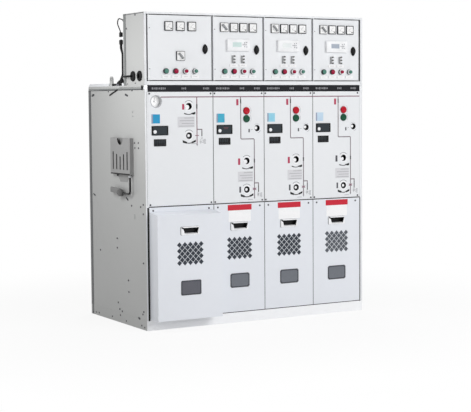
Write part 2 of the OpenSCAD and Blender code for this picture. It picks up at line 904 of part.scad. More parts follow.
module instruments(i) {
  color("dimgray") {
    instrument_bodies(i, 0, false);
    for (k = [first_meter(i) : meter_n(i) - 1])
      face_box(row_x(i, meter_n(i), meter_step(i), k), door_z(meter_share), meter_w, meter_w, meter_t);
    selector(selector_at(i).x, selector_at(i).y);
    if (i > 0) {
      face_box(low_x(i, 1, 0), door_z(relay_share), relay_w, relay_h, relay_t);
      for (k = [0, 1]) face_box(low_x(i, 2, k), door_z(link_share), link_w, link_h, link_t);
    }
    for (k = [0 : 3]) bar_y(low_x(i, 4, k), door_z(lamp_share), front_y - lamp_proud(k), front_y, lamp_r);
  }
}

// A box standing on the door's face
module face_box(x, z, w, h, t) {
  block([x - w / 2, front_y - t, z - h / 2], [x + w / 2, front_y, z + h / 2]);
}

// Selector switch: a square plate with a slanting knob
module selector(x, z) {
  face_box(x, z, meter_w, meter_w, selector_t);
  translate([x, front_y - selector_t - selector_knob_t, z]) rotate([0, 45, 0])
    translate([-meter_w / 3, 0, -selector_knob_w / 2])
      cube([meter_w * 2 / 3, selector_knob_t, selector_knob_w]);
}

function lock_x(i) = bay_right(i) - lock_inset;
lock_z = door_low_z + lock_share * door_h;

// Folded door with its holes
module lv_door(i) {
  x0 = door_left(i);
  x1 = door_right(i);
  color("whitesmoke") difference() {
    block([x0, front_y, door_low_z], [x1, door_back_y, door_top_z]);
    block([x0 + sheet, frame_y, door_low_z + sheet], [x1 - sheet, door_back_y + over, door_top_z - sheet]);
    translate([hinge_x(i), hinge_y, door_low_z - over])
      cylinder(r = hinge_r + hinge_clear, h = door_h + 2 * over);
    bar_y(lock_x(i), lock_z, front_y - over, frame_y + over, lock_shaft_r + lock_clear);
    instrument_bodies(i, cut_gap, true);
  }
}

// Quarter-turn lock: an oval knob, a shaft and a cam
module lock(i) {
  x = lock_x(i);
  color("black") {
    along_y(front_y - lock_gap - lock_t, front_y - lock_gap)
      translate([x, lock_z]) oval(lock_w, lock_h);
    bar_y(x, lock_z, front_y - lock_gap, cam_y + cam_t, lock_shaft_r);
    block([x - cam_w / 2, cam_y, lock_z - cam_l], [x + cam_w / 2, cam_y + cam_t, lock_z]);
  }
}

// Breaker push-button, sliding in its panel hole
module button(i, s) {
  bar_y(socket_x(i), share_z(s), front_y - button_proud, front_y + button_tail, button_r);
}

module red_button(i) {
  color("crimson") button(i, red_share);
}

module green_button(i) {
  color("green") button(i, green_share);
}

base_frame();
left_side_panel();
right_side_panel();
rear_panel();
roof_panel();
rear_roof_cover();
front_frame();
bay_partitions();
gas_tank();
for (i = bays) front_panel(i);
cable_cover_1();
for (i = breaker_bays) cable_cover(i);
cover_grips();
inspection_windows();
name_strip();
operating_sockets();
pressure_gauge();
indicator_units();
voltage_displays();
lv_left_side();
lv_right_side();
lv_top();
lv_bottom();
lv_back();
lv_posts();
cable_glands();
wiring_leads();
wiring_fittings();
lifting_eyes();
document_holder();
operating_lever();
for (i = bays) lv_door(i);
for (i = bays) instruments(i);
for (i = bays) lock(i);
for (i = breaker_bays) red_button(i);
for (i = breaker_bays) green_button(i);
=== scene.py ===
"""Looks of a four-bay switchgear: finishes for its solids, and the small pieces that its sheets carry."""
import math

import bmesh
import bpy
from mathutils import Matrix, Vector


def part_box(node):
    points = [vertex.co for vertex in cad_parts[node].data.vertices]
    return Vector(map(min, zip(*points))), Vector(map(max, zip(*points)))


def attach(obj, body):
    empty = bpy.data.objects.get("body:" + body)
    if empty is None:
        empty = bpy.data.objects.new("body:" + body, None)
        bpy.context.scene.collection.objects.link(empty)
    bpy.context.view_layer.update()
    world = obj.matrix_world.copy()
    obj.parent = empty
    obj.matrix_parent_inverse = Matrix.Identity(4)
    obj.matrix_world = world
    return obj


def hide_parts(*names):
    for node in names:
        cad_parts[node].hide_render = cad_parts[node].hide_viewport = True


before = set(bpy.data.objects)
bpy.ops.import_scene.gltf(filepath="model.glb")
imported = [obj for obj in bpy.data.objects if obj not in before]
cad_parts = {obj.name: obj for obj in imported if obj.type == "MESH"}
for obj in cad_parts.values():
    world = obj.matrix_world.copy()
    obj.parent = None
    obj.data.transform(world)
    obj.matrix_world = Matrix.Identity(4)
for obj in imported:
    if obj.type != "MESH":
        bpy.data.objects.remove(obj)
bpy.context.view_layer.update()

# Sizes and places of the pieces are in mm, and each finished mesh is scaled to metres.
# Camera, light, floor and the grain of finishes are in metres
MM = 0.001
BAYS = (1, 2, 3, 4)
SHARP_EDGE = math.radians(32)

# Camera, as fitted to the straight edges of the cabinet
IMAGE_W = 471
FOCAL_PX = 1351.91
SENSOR_W = 36.0
CAMERA_AT = Vector((-3.867763, -6.871373, 1.229025))
CAMERA_YAW, CAMERA_PITCH, CAMERA_ROLL = 0.519252, 0.076871, -0.007165


# Shader nodes

class Value:
    """A shader socket. Arithmetic on it adds Math nodes."""

    def __init__(self, shader, socket):
        self.shader = shader
        self.socket = socket

    def __add__(self, other):
        return self.shader.math("ADD", self, other)

    def __rsub__(self, other):
        return self.shader.math("SUBTRACT", other, self)

    def __mul__(self, other):
        return self.shader.math("MULTIPLY", self, other)

    __radd__ = __add__
    __rmul__ = __mul__


class Shader:
    """The nodes of one material."""

    def __init__(self, name):
        self.material = bpy.data.materials.new(name)
        self.material.use_nodes = True
        self.tree = self.material.node_tree
        self.surface = self.tree.nodes["Principled BSDF"]

    def node(self, kind, settings=None, sockets=None, output=0):
        """Adds a node: its settings first, then the values or links of its sockets."""
        made = self.tree.nodes.new(kind)
        for name, setting in (settings or {}).items():
            setattr(made, name, setting)
        self.fill(made, sockets or {})
        return Value(self, made.outputs[output])

    def fill(self, made, sockets):
        for name, value in sockets.items():
            if isinstance(value, Value):
                self.tree.links.new(value.socket, made.inputs[name])
            else:
                made.inputs[name].default_value = value

    def math(self, operation, *values):
        return self.node("ShaderNodeMath", {"operation": operation}, dict(enumerate(values)))

    def mix(self, share, low, high):
        """A colour between low and high."""
        return self.node("ShaderNodeMix", {"data_type": "RGBA"}, {0: share, 6: low, 7: high}, 2)

    def tint(self, share, colour, dark, bright):
        """A colour between dark and bright times the given one."""
        low, high = ((*(c * by for c in colour[:3]), 1.0) for by in (dark, bright))
        return self.mix(share, low, high)

    def place(self, stretch=(1, 1, 1)):
        """Object coordinates, stretched along each axis."""
        here = self.node("ShaderNodeTexCoord", output="Object")
        return self.node("ShaderNodeMapping", {}, {"Vector": here, "Scale": stretch})

    def noise(self, scale, detail=2.0, stretch=(1, 1, 1)):
        sockets = {"Vector": self.place(stretch), "Scale": scale, "Detail": detail}
        return self.node("ShaderNodeTexNoise", {}, sockets)

    def wave(self, way, scale, **sockets):
        """Bands across one axis."""
        return self.node("ShaderNodeTexWave", {"bands_direction": way},
                         {"Vector": self.place(), "Scale": scale, **sockets})

    def bump(self, height, depth, soft_edge=0.0):
        """A normal from a height; soft_edge rounds the shading of sharp edges by that radius."""
        sockets = {"Height": height, "Distance": depth, "Strength": 1.0}
        if soft_edge:
            sockets["Normal"] = self.node("ShaderNodeBevel", {"samples": 4}, {"Radius": soft_edge})
        return self.node("ShaderNodeBump", {}, sockets)

    def done(self, **sockets):
        self.fill(self.surface, {name.replace("_", " "): value for name, value in sockets.items()})
        return self.material


def tone(*levels):
    """A display colour, 0 to 255, as linear light."""
    shares = [level / 255 for level in levels]
    return (*(c / 12.92 if c <= 0.04045 else ((c + 0.055) / 1.055) ** 2.4 for c in shares), 1.0)


# Finishes

def powder_coat(name, *levels):
    """Satin paint baked on sheet metal: faint clouds, handling marks and a fine orange peel."""
    s = Shader(name)
    clouds = s.noise(2.2, 3.0)
    marks = s.noise(38.0, 5.0)
    peel = s.noise(900.0, 1.0)
    base = s.tint(clouds * 0.7 + marks * 0.3, tone(*levels), 0.955, 1.035)
    return s.done(Base_Color=base, Roughness=0.34 + marks * 0.14, Normal=s.bump(peel, 0.00006, 0.0012))


def moulded(name, *levels, roughness=0.42, grain=0.00005, gloss=0.3):
    """Moulded plastic with a fine spark-eroded grain."""
    s = Shader(name)
    clouds = s.noise(24.0, 3.0)
    pits = s.noise(1400.0, 2.0)
    return s.done(Base_Color=s.tint(clouds, tone(*levels), 0.86, 1.14), Specular_IOR_Level=gloss,
                  Roughness=roughness - 0.06 + clouds * 0.12, Normal=s.bump(pits, grain, 0.0005))


def rubber(name, *levels):
    """Dull black rubber with a chalky bloom."""
    s = Shader(name)
    bloom = s.noise(60.0, 4.0)
    return s.done(Base_Color=s.tint(bloom, tone(*levels), 0.7, 1.6), Roughness=0.62 + bloom * 0.2,
                  Specular_IOR_Level=0.2, Normal=s.bump(s.noise(700.0), 0.0001))


def sheet_steel(name, colour, stretch, roughness=0.34):
    """Bare metal with a brushed or rolled grain along one axis. The colour is linear."""
    s = Shader(name)
    grain = s.noise(60.0, 4.0, stretch)
    spangle = s.noise(18.0, 2.0)
    return s.done(Base_Color=s.tint(grain * 0.6 + spangle * 0.4, colour, 0.8, 1.12), Metallic=1.0,
                  Roughness=roughness - 0.08 + grain * 0.18, Normal=s.bump(grain, 0.00008, 0.0006))


def printed(name, *levels, roughness=0.5, glow=0.0):
    """Screen-printed ink or a film label, a little uneven in its cover; glow gives a dial a painted glow that
    brightens it in the shade of its recess.
    """
    s = Shader(name)
    cover = s.noise(420.0, 3.0)
    base = s.tint(cover, tone(*levels), 0.9, 1.1)
    return s.done(Base_Color=base, Roughness=roughness - 0.05 + cover * 0.1, Specular_IOR_Level=0.3,
                  Emission_Color=base, Emission_Strength=glow, Normal=s.bump(cover, 0.00003))


def faded_print(name, low, high):
    """A printed field that shades from one colour to another."""
    s = Shader(name)
    tint = s.noise(26.0, 1.0)
    return s.done(Base_Color=s.mix(tint, tone(*low), tone(*high)), Roughness=0.42 + tint * 0.1,
                  Specular_IOR_Level=0.3)


def lens(name, *levels):
    """Coloured clear plastic of a lamp or button cap, with moulded ribs under the skin."""
    s = Shader(name)
    ribs = s.wave("Z", 170.0, Distortion=0.6, Detail=1.0)
    return s.done(Base_Color=s.tint(ribs, tone(*levels), 0.72, 1.25), Roughness=0.26 + ribs * 0.08,
                  Coat_Weight=0.03, Specular_IOR_Level=0.14)


def smoked_pane(name, *levels):
    """Dark clear plastic with fine scuffs."""
    s = Shader(name)
    scuffs = s.noise(120.0, 5.0)
    return s.done(Base_Color=s.tint(scuffs, tone(*levels), 0.9, 1.1), Roughness=0.3 + scuffs * 0.12,
                  Specular_IOR_Level=0.3, Normal=s.bump(scuffs, 0.00002))


def filter_cloth(name, *levels):
    """Woven filter sheet of the vents."""
    s = Shader(name)
    weave = s.wave("X", 150.0, Distortion=0.5) * s.wave("Z", 150.0, Distortion=0.5)
    return s.done(Base_Color=s.tint(weave, tone(*levels), 0.82, 1.3), Roughness=0.8 - weave * 0.15,
                  Specular_IOR_Level=0.2, Normal=s.bump(weave, 0.0003))


def display_glass(name, low, high):
    """A liquid-crystal display: rows of cells over a slow change of colour."""
    s = Shader(name)
    rows = s.wave("Z", 90.0)
    tint = s.noise(16.0, 1.0)
    return s.done(Base_Color=s.mix(tint * 0.8 + rows * 0.2, tone(*low), tone(*high)),
                  Roughness=0.18 + rows * 0.06)


WHITE = powder_coat("panel_white", 233, 235, 238)
# The covers' white is the panels' paint tinted cooler: painted light, for the cooler light on the covers.
COOL_LIT_WHITE = powder_coat("cover_white_cool_light", 231, 234, 240)
# The plinth's white is brighter than the panels' paint: painted light against the shade under the covers.
PLINTH_LIT_WHITE = powder_coat("plinth_white_lit", 251, 252, 254)
GREY = powder_coat("panel_grey", 182, 183, 182)
HOLDER_GREY = powder_coat("holder_grey", 146, 146, 146)
FOLD_GREY = powder_coat("fold_grey", 160, 163, 162)
# Painted shade: darker greys for the bands where the sides fall into shade.
PAINTED_SHADE = powder_coat("painted_shade_grey", 120, 123, 122)
EDGE_SHADE = powder_coat("edge_painted_shade", 84, 86, 88)
STEEL = sheet_steel("bare_steel", (0.55, 0.56, 0.57), (1, 1, 12))
BRIGHT = sheet_steel("bright_metal", (0.72, 0.73, 0.74), (4, 4, 4), 0.26)
SCREW = sheet_steel("screw_metal", (0.09, 0.09, 0.1), (6, 6, 6), 0.42)
BLACK = moulded("black_plastic", 12, 12, 14, gloss=0.16)
DARK = moulded("instrument_dark", 52, 54, 58, gloss=0.2)
SLATE = moulded("slate_plastic", 44, 51, 56, gloss=0.16)
MID_GREY = moulded("grey_plastic", 142, 144, 146)
LINK_GREY = moulded("link_grey", 108, 108, 108)
HUB_GREY = moulded("hub_grey", 84, 84, 84)
GRIP_GREY = moulded("grip_grey", 126, 126, 126)
PALE_GREY = moulded("pale_plastic", 186, 187, 191)
IVORY = moulded("white_plastic", 246, 247, 249, roughness=0.36)
STRIP = moulded("name_black", 33, 34, 38, roughness=0.4, grain=0.00002, gloss=0.08)
GAUGE_GREY = moulded("gauge_metal", 196, 197, 199, roughness=0.34)
RUBBER = rubber("rubber_black", 17, 17, 18)
# Dark rubber of seals and lips, also used for painted shadow lines.
SEAL_SHADOW = rubber("seal_and_shadow_dark", 70, 71, 74)
LEVER = moulded("lever_black", 20, 20, 22, roughness=0.36, gloss=0.2)
FILTER = filter_cloth("vent_filter", 66, 71, 79)
PALE_FILTER = filter_cloth("pale_filter", 98, 102, 109)
PANE = smoked_pane("smoked_pane", 94, 95, 103)
PALE_PANE = smoked_pane("pale_pane", 112, 116, 123)
PANE_RIM = moulded("pane_rim", 72, 74, 80)
RED_CAP = lens("button_red", 186, 10, 36)
GREEN_CAP = lens("button_green", 14, 78, 52)
LAMP_RED = lens("lamp_red", 158, 16, 58)
LAMP_GREEN = lens("lamp_green", 82, 132, 118)
DISPLAYS = {2: display_glass("relay_display_2", (184, 192, 196), (190, 226, 217)),
            3: display_glass("relay_display_3", (214, 218, 222), (224, 230, 228)),
            4: display_glass("relay_display_4", (146, 156, 172), (168, 178, 192))}
DIAL = printed("dial_white", 249, 249, 249)
# The dial's glow is painted light that brightens it in its recess; it is no lamp.
GLOWING_DIAL = printed("dial_painted_glow", 244, 244, 244, glow=0.3)
MIMIC = printed("mimic_line", 132, 90, 106)
FEEDER = printed("feeder_line", 118, 106, 112)
INK = printed("ink_black", 20, 20, 23)
INK_DARK = printed("ink_dark", 80, 80, 86)
INK_GREY = printed("ink_grey", 136, 136, 141)
INK_PALE = printed("ink_pale", 170, 170, 175)
INK_RED = printed("ink_red", 104, 62, 70)
PRINT_PATCH = printed("print_patch", 216, 216, 220)
LABEL_RED = printed("label_red", 178, 56, 88)
BLUE_FIELDS = {1: faded_print("label_blue", (10, 156, 186), (36, 146, 206)),
               2: faded_print("label_cyan", (14, 148, 188), (84, 190, 214)),
               3: faded_print("label_sky", (120, 198, 226), (176, 220, 234)),
               4: faded_print("label_ice", (184, 210, 232), (202, 222, 238))}
LABEL_EDGE = printed("label_edge", 150, 156, 178)
LABEL_WHITE = printed("label_white", 248, 248, 249)
MARK_GREY = printed("mark_grey", 132, 133, 137)
PLATE_RED = printed("plate_red", 200, 30, 52, roughness=0.4)


# Outlines and points on a face: X to the right, Z up

def rounded(corners, r, steps=4):
    """Outline of a polygon with its corners rounded by r, or cut where steps is 1."""
    points = []
    for k, corner in enumerate(corners):
        p = Vector(corner)
        back = (Vector(corners[k - 1]) - p).normalized()
        ahead = (Vector(corners[(k + 1) % len(corners)]) - p).normalized()
        half = back.angle(ahead) / 2
        centre = p + (back + ahead).normalized() * r / math.sin(half)
        first = p + back * r / math.tan(half) - centre
        sweep = first.angle_signed(p + ahead * r / math.tan(half) - centre)
        points += [tuple(centre + Matrix.Rotation(-sweep * i / steps, 2) @ first) for i in range(steps + 1)]
    return points


def rect(w, h):
    """Corners of a centred rectangle."""
    return [(w / 2, h / 2), (-w / 2, h / 2), (-w / 2, -h / 2), (w / 2, -h / 2)]


def round_rect(w, h, r, steps=4):
    return rounded(rect(w, h), r, steps)


def ellipse(w, h, steps=32):
    turn = 2 * math.pi / steps
    return [(w / 2 * math.cos(turn * k), h / 2 * math.sin(turn * k)) for k in range(steps)]


def pointed_oval(w, h, steps=32):
    """An oval drawn out to a point at its top and bottom."""
    turns = [2 * math.pi * k / steps for k in range(steps)]
    return [(w / 2 * math.cos(t) * abs(math.cos(t)) ** 0.6, h / 2 * math.sin(t)) for t in turns]


def moved(outline, x, z):
    return [(px + x, pz + z) for px, pz in outline]


def arc(r, start, end, steps=12):
    """Points of an arc about the origin, in degrees from +X."""
    angles = [math.radians(start + (end - start) * k / steps) for k in range(steps + 1)]
    return [(r * math.cos(a), r * math.sin(a)) for a in angles]


def spoke(degrees, inner, outer):
    """Ends of a line that points away from the origin."""
    a = math.radians(degrees)
    return [(p * math.cos(a), p * math.sin(a)) for p in (inner, outer)]


def step(at, x=0.0, out=0.0, z=0.0):
    """A place x to the right, out of the front and z up from another."""
    return at + Vector((x, -out, z))


# Shapes. Each is made on a face, with -Y out of the face

def is_vert(element):
    return isinstance(element, bmesh.types.BMVert)


def is_edge(element):
    return isinstance(element, bmesh.types.BMEdge)


def thicken(shape, depth):
    """Gives a flat shape its thickness, out of the face."""
    grown = bmesh.ops.extrude_face_region(shape, geom=shape.faces[:])["geom"]
    bmesh.ops.translate(shape, vec=(0, -depth, 0), verts=list(filter(is_vert, grown)))
    bmesh.ops.recalc_face_normals(shape, faces=shape.faces)
    return shape


def soften(shape, edges, r, segments):
    """Bevels edges in metres, as the corners that the tool makes depend on the scale."""
    bmesh.ops.scale(shape, vec=(MM, MM, MM), verts=shape.verts)
    bmesh.ops.bevel(shape, geom=edges, offset=r * MM, segments=segments, profile=0.5, affect="EDGES",
                    material=-1)
    bmesh.ops.scale(shape, vec=(1 / MM, 1 / MM, 1 / MM), verts=shape.verts)


def plate(outline, depth, bevel=0.0):
    """A flat plate of that outline, its front edge bevelled."""
    shape = bmesh.new()
    shape.faces.new([shape.verts.new((x, 0, z)) for x, z in outline])
    thicken(shape, depth)
    if bevel:
        front = [e for e in shape.edges if all(v.co.y < -depth / 2 for v in e.verts)]
        soften(shape, front, bevel, 2)
    return shape


def card(w, h, r, depth, bevel=0.0, steps=4):
    """A rectangular plate, its corners rounded by r."""
    return plate(round_rect(w, h, r, steps) if r else rect(w, h), depth, bevel)


def block(w, d, h, r=0.0):
    """A box on the face, its edges rounded by r."""
    shape = bmesh.new()
    size = Matrix.Diagonal((w, d, h, 1))
    bmesh.ops.create_cube(shape, size=1, matrix=Matrix.Translation((0, -d / 2, 0)) @ size)
    if r:
        soften(shape, shape.edges[:], r, 3)
    return shape


def turned(profile, steps=28):
    """A profile of radii and depths, spun about the face's normal."""
    shape = bmesh.new()
    verts = [shape.verts.new((r, y, 0)) for r, y in profile]
    edges = [shape.edges.new(pair) for pair in zip(verts, verts[1:])]
    bmesh.ops.spin(shape, geom=verts + edges, axis=(0, 1, 0), cent=(0, 0, 0), angle=2 * math.pi, steps=steps,
                   use_merge=True)
    bmesh.ops.remove_doubles(shape, verts=shape.verts, dist=0.001)
    bmesh.ops.recalc_face_normals(shape, faces=shape.faces)
    return shape


def sweep_edges(shape, rings, closed):
    """Extrudes an open or closed row of edges from ring to ring, point for point; gives both end rows."""
    order = shape.verts.layers.int.new("order")
    verts = [shape.verts.new(p) for p in rings[0]]
    for k, v in enumerate(verts):
        v[order] = k
    pairs = list(zip(verts, verts[1:]))
    if closed:
        pairs.append((verts[-1], verts[0]))
    edges = first = [shape.edges.new(pair) for pair in pairs]
    for points in rings[1:]:
        grown = bmesh.ops.extrude_edge_only(shape, edges=edges)["geom"]
        fresh = set(filter(is_vert, grown))
        for v in fresh:
            v.co = points[v[order]]
        edges = [e for e in grown if is_edge(e) and set(e.verts) <= fresh]
    return first, edges


def stack(*levels):
    """A closed form through outlines of as many points each, at their depths."""
    shape = bmesh.new()
    rings = [[(x, y, z) for x, z in outline] for outline, y in levels]
    for ring in sweep_edges(shape, rings, True):
        bmesh.ops.contextual_create(shape, geom=ring)
    bmesh.ops.recalc_face_normals(shape, faces=shape.faces)
    return shape


def rounds(*levels):
    """A stack of rounded rectangles: width, height, corner radius and depth of each."""
    return stack(*((round_rect(w, h, r), y) for w, h, r, y in levels))


def ribbon(points, width, depth):
    """A printed line through the points, mitred at its corners."""
    shape = bmesh.new()
    path = [Vector(p) for p in points]
    steps = [(b - a).normalized() for a, b in zip(path, path[1:])]
    cuts = []
    for p, before, after in zip(path, steps[:1] + steps, steps + steps[-1:]):
        side = (before + after).orthogonal().normalized()
        side *= width / 2 / side.dot(before.orthogonal())
        cuts.append([(q.x, 0, q.y) for q in (p - side, p + side)])
    sweep_edges(shape, cuts, False)
    return thicken(shape, depth)


FACES = {
    "front": Matrix.Identity(4),
    "rear": Matrix.Rotation(math.pi, 4, "Z"),
    "left": Matrix.Rotation(-math.pi / 2, 4, "Z"),
    "right": Matrix.Rotation(math.pi / 2, 4, "Z"),
    "top": Matrix.Rotation(-math.pi / 2, 4, "X"),
}


class Piece:
    """One mesh in the making: shapes set on faces of the object, each in one of the piece's materials."""

    def __init__(self, name, *materials):
        self.name = name
        self.materials = materials
        self.mesh = bmesh.new()

    def add(self, shape, at, material=0, turn=0.0, face="front"):
        """Sets a shape at a point of a face, turned about the face's normal in degrees."""
        copy = shape.copy()
        place = Matrix.Translation(at) @ FACES[face] @ Matrix.Rotation(math.radians(turn), 4, "Y")
        bmesh.ops.transform(copy, matrix=place, verts=copy.verts)
        for f in copy.faces:
            f.material_index += material
            f.smooth = True
        held = bpy.data.meshes.new(self.name)
        copy.to_mesh(held)
        copy.free()
        self.mesh.from_mesh(held)
        bpy.data.meshes.remove(held)

    def done(self, body, slot, *replaced):
        """Makes the object, which rides on a body and may stand for solids of the frame."""
        for edge in self.mesh.edges:
            edge.smooth = len(edge.link_faces) == 2 and edge.calc_face_angle(0) < SHARP_EDGE
        bmesh.ops.scale(self.mesh, vec=(MM, MM, MM), verts=self.mesh.verts)
        mesh = bpy.data.meshes.new(self.name)
        self.mesh.to_mesh(mesh)
        self.mesh.free()
        for material in self.materials:
            mesh.materials.append(material)
        made = bpy.data.objects.new(self.name, mesh)
        bpy.context.scene.collection.objects.link(made)
        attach(made, body)
        if replaced:
            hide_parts(*replaced)


# Places, from the frame

def box(node):
    """The low and high corner of a solid, in mm."""
    return [Vector([value / MM for value in corner]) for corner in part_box(node)]


DOOR_EDGE = 4
FRONT = box("front_panel_1")[0].y
LEFT = box("left_side_panel")[0].x
RIGHT = box("right_side_panel")[1].x
REAR = box("rear_panel")[1].y
ROOF = box("roof_panel")[1].z
SIDE_LOW, SIDE_HIGH = (corner.z for corner in box("left_side_panel"))
BOX_BACK = box("lv_back")[1].y
BOX_HIGH = box("lv_left_side")[1].z


class Bay:
    """Where one bay's sheets are, and shares of their heights."""

    def __init__(self, number):
        door, panel, cover = (box(f"{sheet}_{number}") for sheet in ("lv_door", "front_panel", "cable_cover"))
        self.number = number
        self.left = door[0].x - DOOR_EDGE
        self.right = door[1].x + DOOR_EDGE
        self.mid = (self.left + self.right) / 2
        self.width = self.right - self.left
        self.door_low, self.door_high = door[0].z, door[1].z
        self.panel_low, self.panel_high = panel[0].z, panel[1].z
        self.cover_low, self.cover_high = cover[0].z, cover[1].z
        self.cover_face = cover[0].y

    def door(self, x, share):
        return Vector((self.mid + x, FRONT, self.door_low + share * (self.door_high - self.door_low)))

    def panel(self, x, share):
        return Vector((self.mid + x, FRONT, self.panel_low + share * (self.panel_high - self.panel_low)))


bays = [Bay(number) for number in BAYS]
first_bay, breaker_bays = bays[0], bays[1:]


# Camera, light and floor

def add_camera():
    forward = Vector((math.sin(CAMERA_YAW) * math.cos(CAMERA_PITCH),
                      math.cos(CAMERA_YAW) * math.cos(CAMERA_PITCH), -math.sin(CAMERA_PITCH)))
    level = Vector((math.cos(CAMERA_YAW), -math.sin(CAMERA_YAW), 0))
    up = level.cross(forward)
    across = level * math.cos(CAMERA_ROLL) + up * math.sin(CAMERA_ROLL)
    rise = up * math.cos(CAMERA_ROLL) - level * math.sin(CAMERA_ROLL)
    lens_data = bpy.data.cameras.new("camera")
    lens_data.sensor_fit = "HORIZONTAL"
    lens_data.sensor_width = SENSOR_W
    lens_data.lens = SENSOR_W * FOCAL_PX / IMAGE_W
    camera = bpy.data.objects.new("camera", lens_data)
    turn = Matrix((across, rise, -forward)).transposed().to_4x4()
    camera.matrix_world = Matrix.Translation(CAMERA_AT) @ turn
    bpy.context.scene.collection.objects.link(camera)
    bpy.context.scene.camera = camera


WORLD_LIGHT = 0.34
FLOOR_HALF = 14.0
# Place, aim, width and height in metres, and watts
LAMPS = {
    "front_key": ((1.5, -4.6, 2.6), (0.1, -0.3, 0.85), (3.2, 2.6), 114.5),
    "left_fill": ((-1.55, -0.37, 1.5), (-0.7, -0.3, 1.1), (0.6, 0.6), 7.5),
    "low_fill": ((-0.7, -2.2, 0.3), (-0.4, -0.45, 0.05), (1.2, 0.3), 1.8),
    "rear_fill": ((2.4, 3.6, 2.8), (0.2, 0.2, 0.9), (3.0, 2.4), 90),
}


def shown_ray(shader):
    """1 for rays that show the background: to the camera, in mirrors and through glass."""
    path = shader.tree.nodes.new("ShaderNodeLightPath")
    to_camera, in_mirror, through = (Value(shader, path.outputs[f"Is {way} Ray"])
                                     for way in ("Camera", "Glossy", "Transmission"))
    return shader.math("MAXIMUM", shader.math("MAXIMUM", to_camera, in_mirror), through)


class Backdrop(Shader):
    """The nodes of the world."""

    def __init__(self, world):
        world.use_nodes = True
        self.tree = world.node_tree


def add_light():
    world = bpy.data.worlds.new("studio")
    bpy.context.scene.world = world
    backdrop = Backdrop(world)
    sky = world.node_tree.nodes["Background"]
    strength = WORLD_LIGHT + shown_ray(backdrop) * (1 - WORLD_LIGHT)
    backdrop.fill(sky, {"Color": (1, 1, 1, 1), "Strength": strength})
    for name, (at, aim, size, watts) in LAMPS.items():
        data = bpy.data.lights.new(name, "AREA")
        data.shape = "RECTANGLE"
        data.size, data.size_y = size
        data.energy = watts
        light = bpy.data.objects.new(name, data)
        light.location = at
        light.rotation_euler = (Vector(aim) - Vector(at)).to_track_quat("-Z", "Y").to_euler()
        light.visible_camera = False
        bpy.context.scene.collection.objects.link(light)


def add_floor():
    """A pale floor that keeps the object's shadow near it and fades to white further out."""
    shape = bmesh.new()
    bmesh.ops.create_grid(shape, x_segments=1, y_segments=1, size=FLOOR_HALF)
    mesh = bpy.data.meshes.new("floor")
    shape.to_mesh(mesh)
    shape.free()
    floor = bpy.data.objects.new("floor", mesh)
    bpy.context.scene.collection.objects.link(floor)
    s = Shader("floor_white")
    reach = s.node("ShaderNodeVectorMath", {"operation": "LENGTH"}, {0: s.place()}, 1)
    away = s.node("ShaderNodeMapRange", {"interpolation_type": "SMOOTHSTEP"},
                  {"Value": reach, "From Min": 0.8, "From Max": 2.6, "To Min": 0.88, "To Max": 1.0})
    paint = s.node("ShaderNodeBsdfDiffuse", {}, {"Color": tone(246, 246, 246)})
    glow = s.node("ShaderNodeEmission", {}, {"Color": (1, 1, 1, 1), "Strength": 1.0})
    both = s.node("ShaderNodeMixShader", {}, {0: away * shown_ray(s), 1: paint, 2: glow})
    s.tree.links.new(both.socket, s.tree.nodes["Material Output"].inputs["Surface"])
    mesh.materials.append(s.material)


# Finishes of the solids that show as they are

NODE_FINISH = {
    WHITE: ["roof_panel", "rear_roof_cover", "lv_top", "lv_bottom",
            *(f"front_panel_{n}" for n in BAYS), *(f"lv_door_{n}" for n in BAYS)],
    COOL_LIT_WHITE: [f"cable_cover_{n}" for n in BAYS],
    PLINTH_LIT_WHITE: ["base_frame"],
    GREY: ["left_side_panel", "right_side_panel", "rear_panel", "lv_left_side", "lv_right_side", "lv_back",
           "lv_posts", "lifting_eyes"],
    HOLDER_GREY: ["document_holder"],
    STEEL: ["front_frame", "bay_partitions", "gas_tank"],
    STRIP: ["name_strip"],
    RUBBER: ["cable_glands", "wiring_leads"],
}


def finish_nodes():
    for material, names in NODE_FINISH.items():
        for name in names:
            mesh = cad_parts[name].data
            mesh.materials.clear()
            mesh.materials.append(material)


# Screws

SCREW_R, SCREW_H = 5.2, 2.6
# Screws of the front, from the edges of their sheets, and how much further in the right ones are
PANEL_SCREW_X, PANEL_SCREW_HIGH, PANEL_SCREW_LOW = 9, 10, 6
COVER_SCREW_X, COVER_SCREW_HIGH, RIGHT_SCREW_IN = 25, 17, 6
# Screws of the right and rear sheets
SHEET_SCREW_X, SHEET_SCREW_LOW, SHEET_SCREW_HIGH = 40, 24, 20
LOW_SCREWS_Y, BOX_SCREWS_Z = (130, 360, 560), (40, 190, 345)


def screw_head(r=SCREW_R):
    """A pan head with a round driver recess."""
    rise = SCREW_H * r / SCREW_R
    return turned([(0, -0.35 * rise), (0.34 * r, -0.35 * rise), (0.42 * r, -rise), (0.7 * r, -0.97 * rise),
                   (0.93 * r, -0.62 * rise), (r, -0.15 * rise), (r, 0)], 14)


def front_screws():
    """Screws of the front panels and cable covers, a little further in on the right."""
    piece = Piece("front_screws", SCREW)
    head = screw_head()
    for bay in bays:
        for inset, z in ((PANEL_SCREW_X, bay.panel_high - PANEL_SCREW_HIGH),
                         (PANEL_SCREW_X, bay.panel_low + PANEL_SCREW_LOW),
                         (COVER_SCREW_X, bay.cover_high - COVER_SCREW_HIGH)):
            for x in (bay.left + inset, bay.right - inset - RIGHT_SCREW_IN):
                piece.add(head, (x, FRONT, z))
    piece.done("cabinet", "bare_steel")


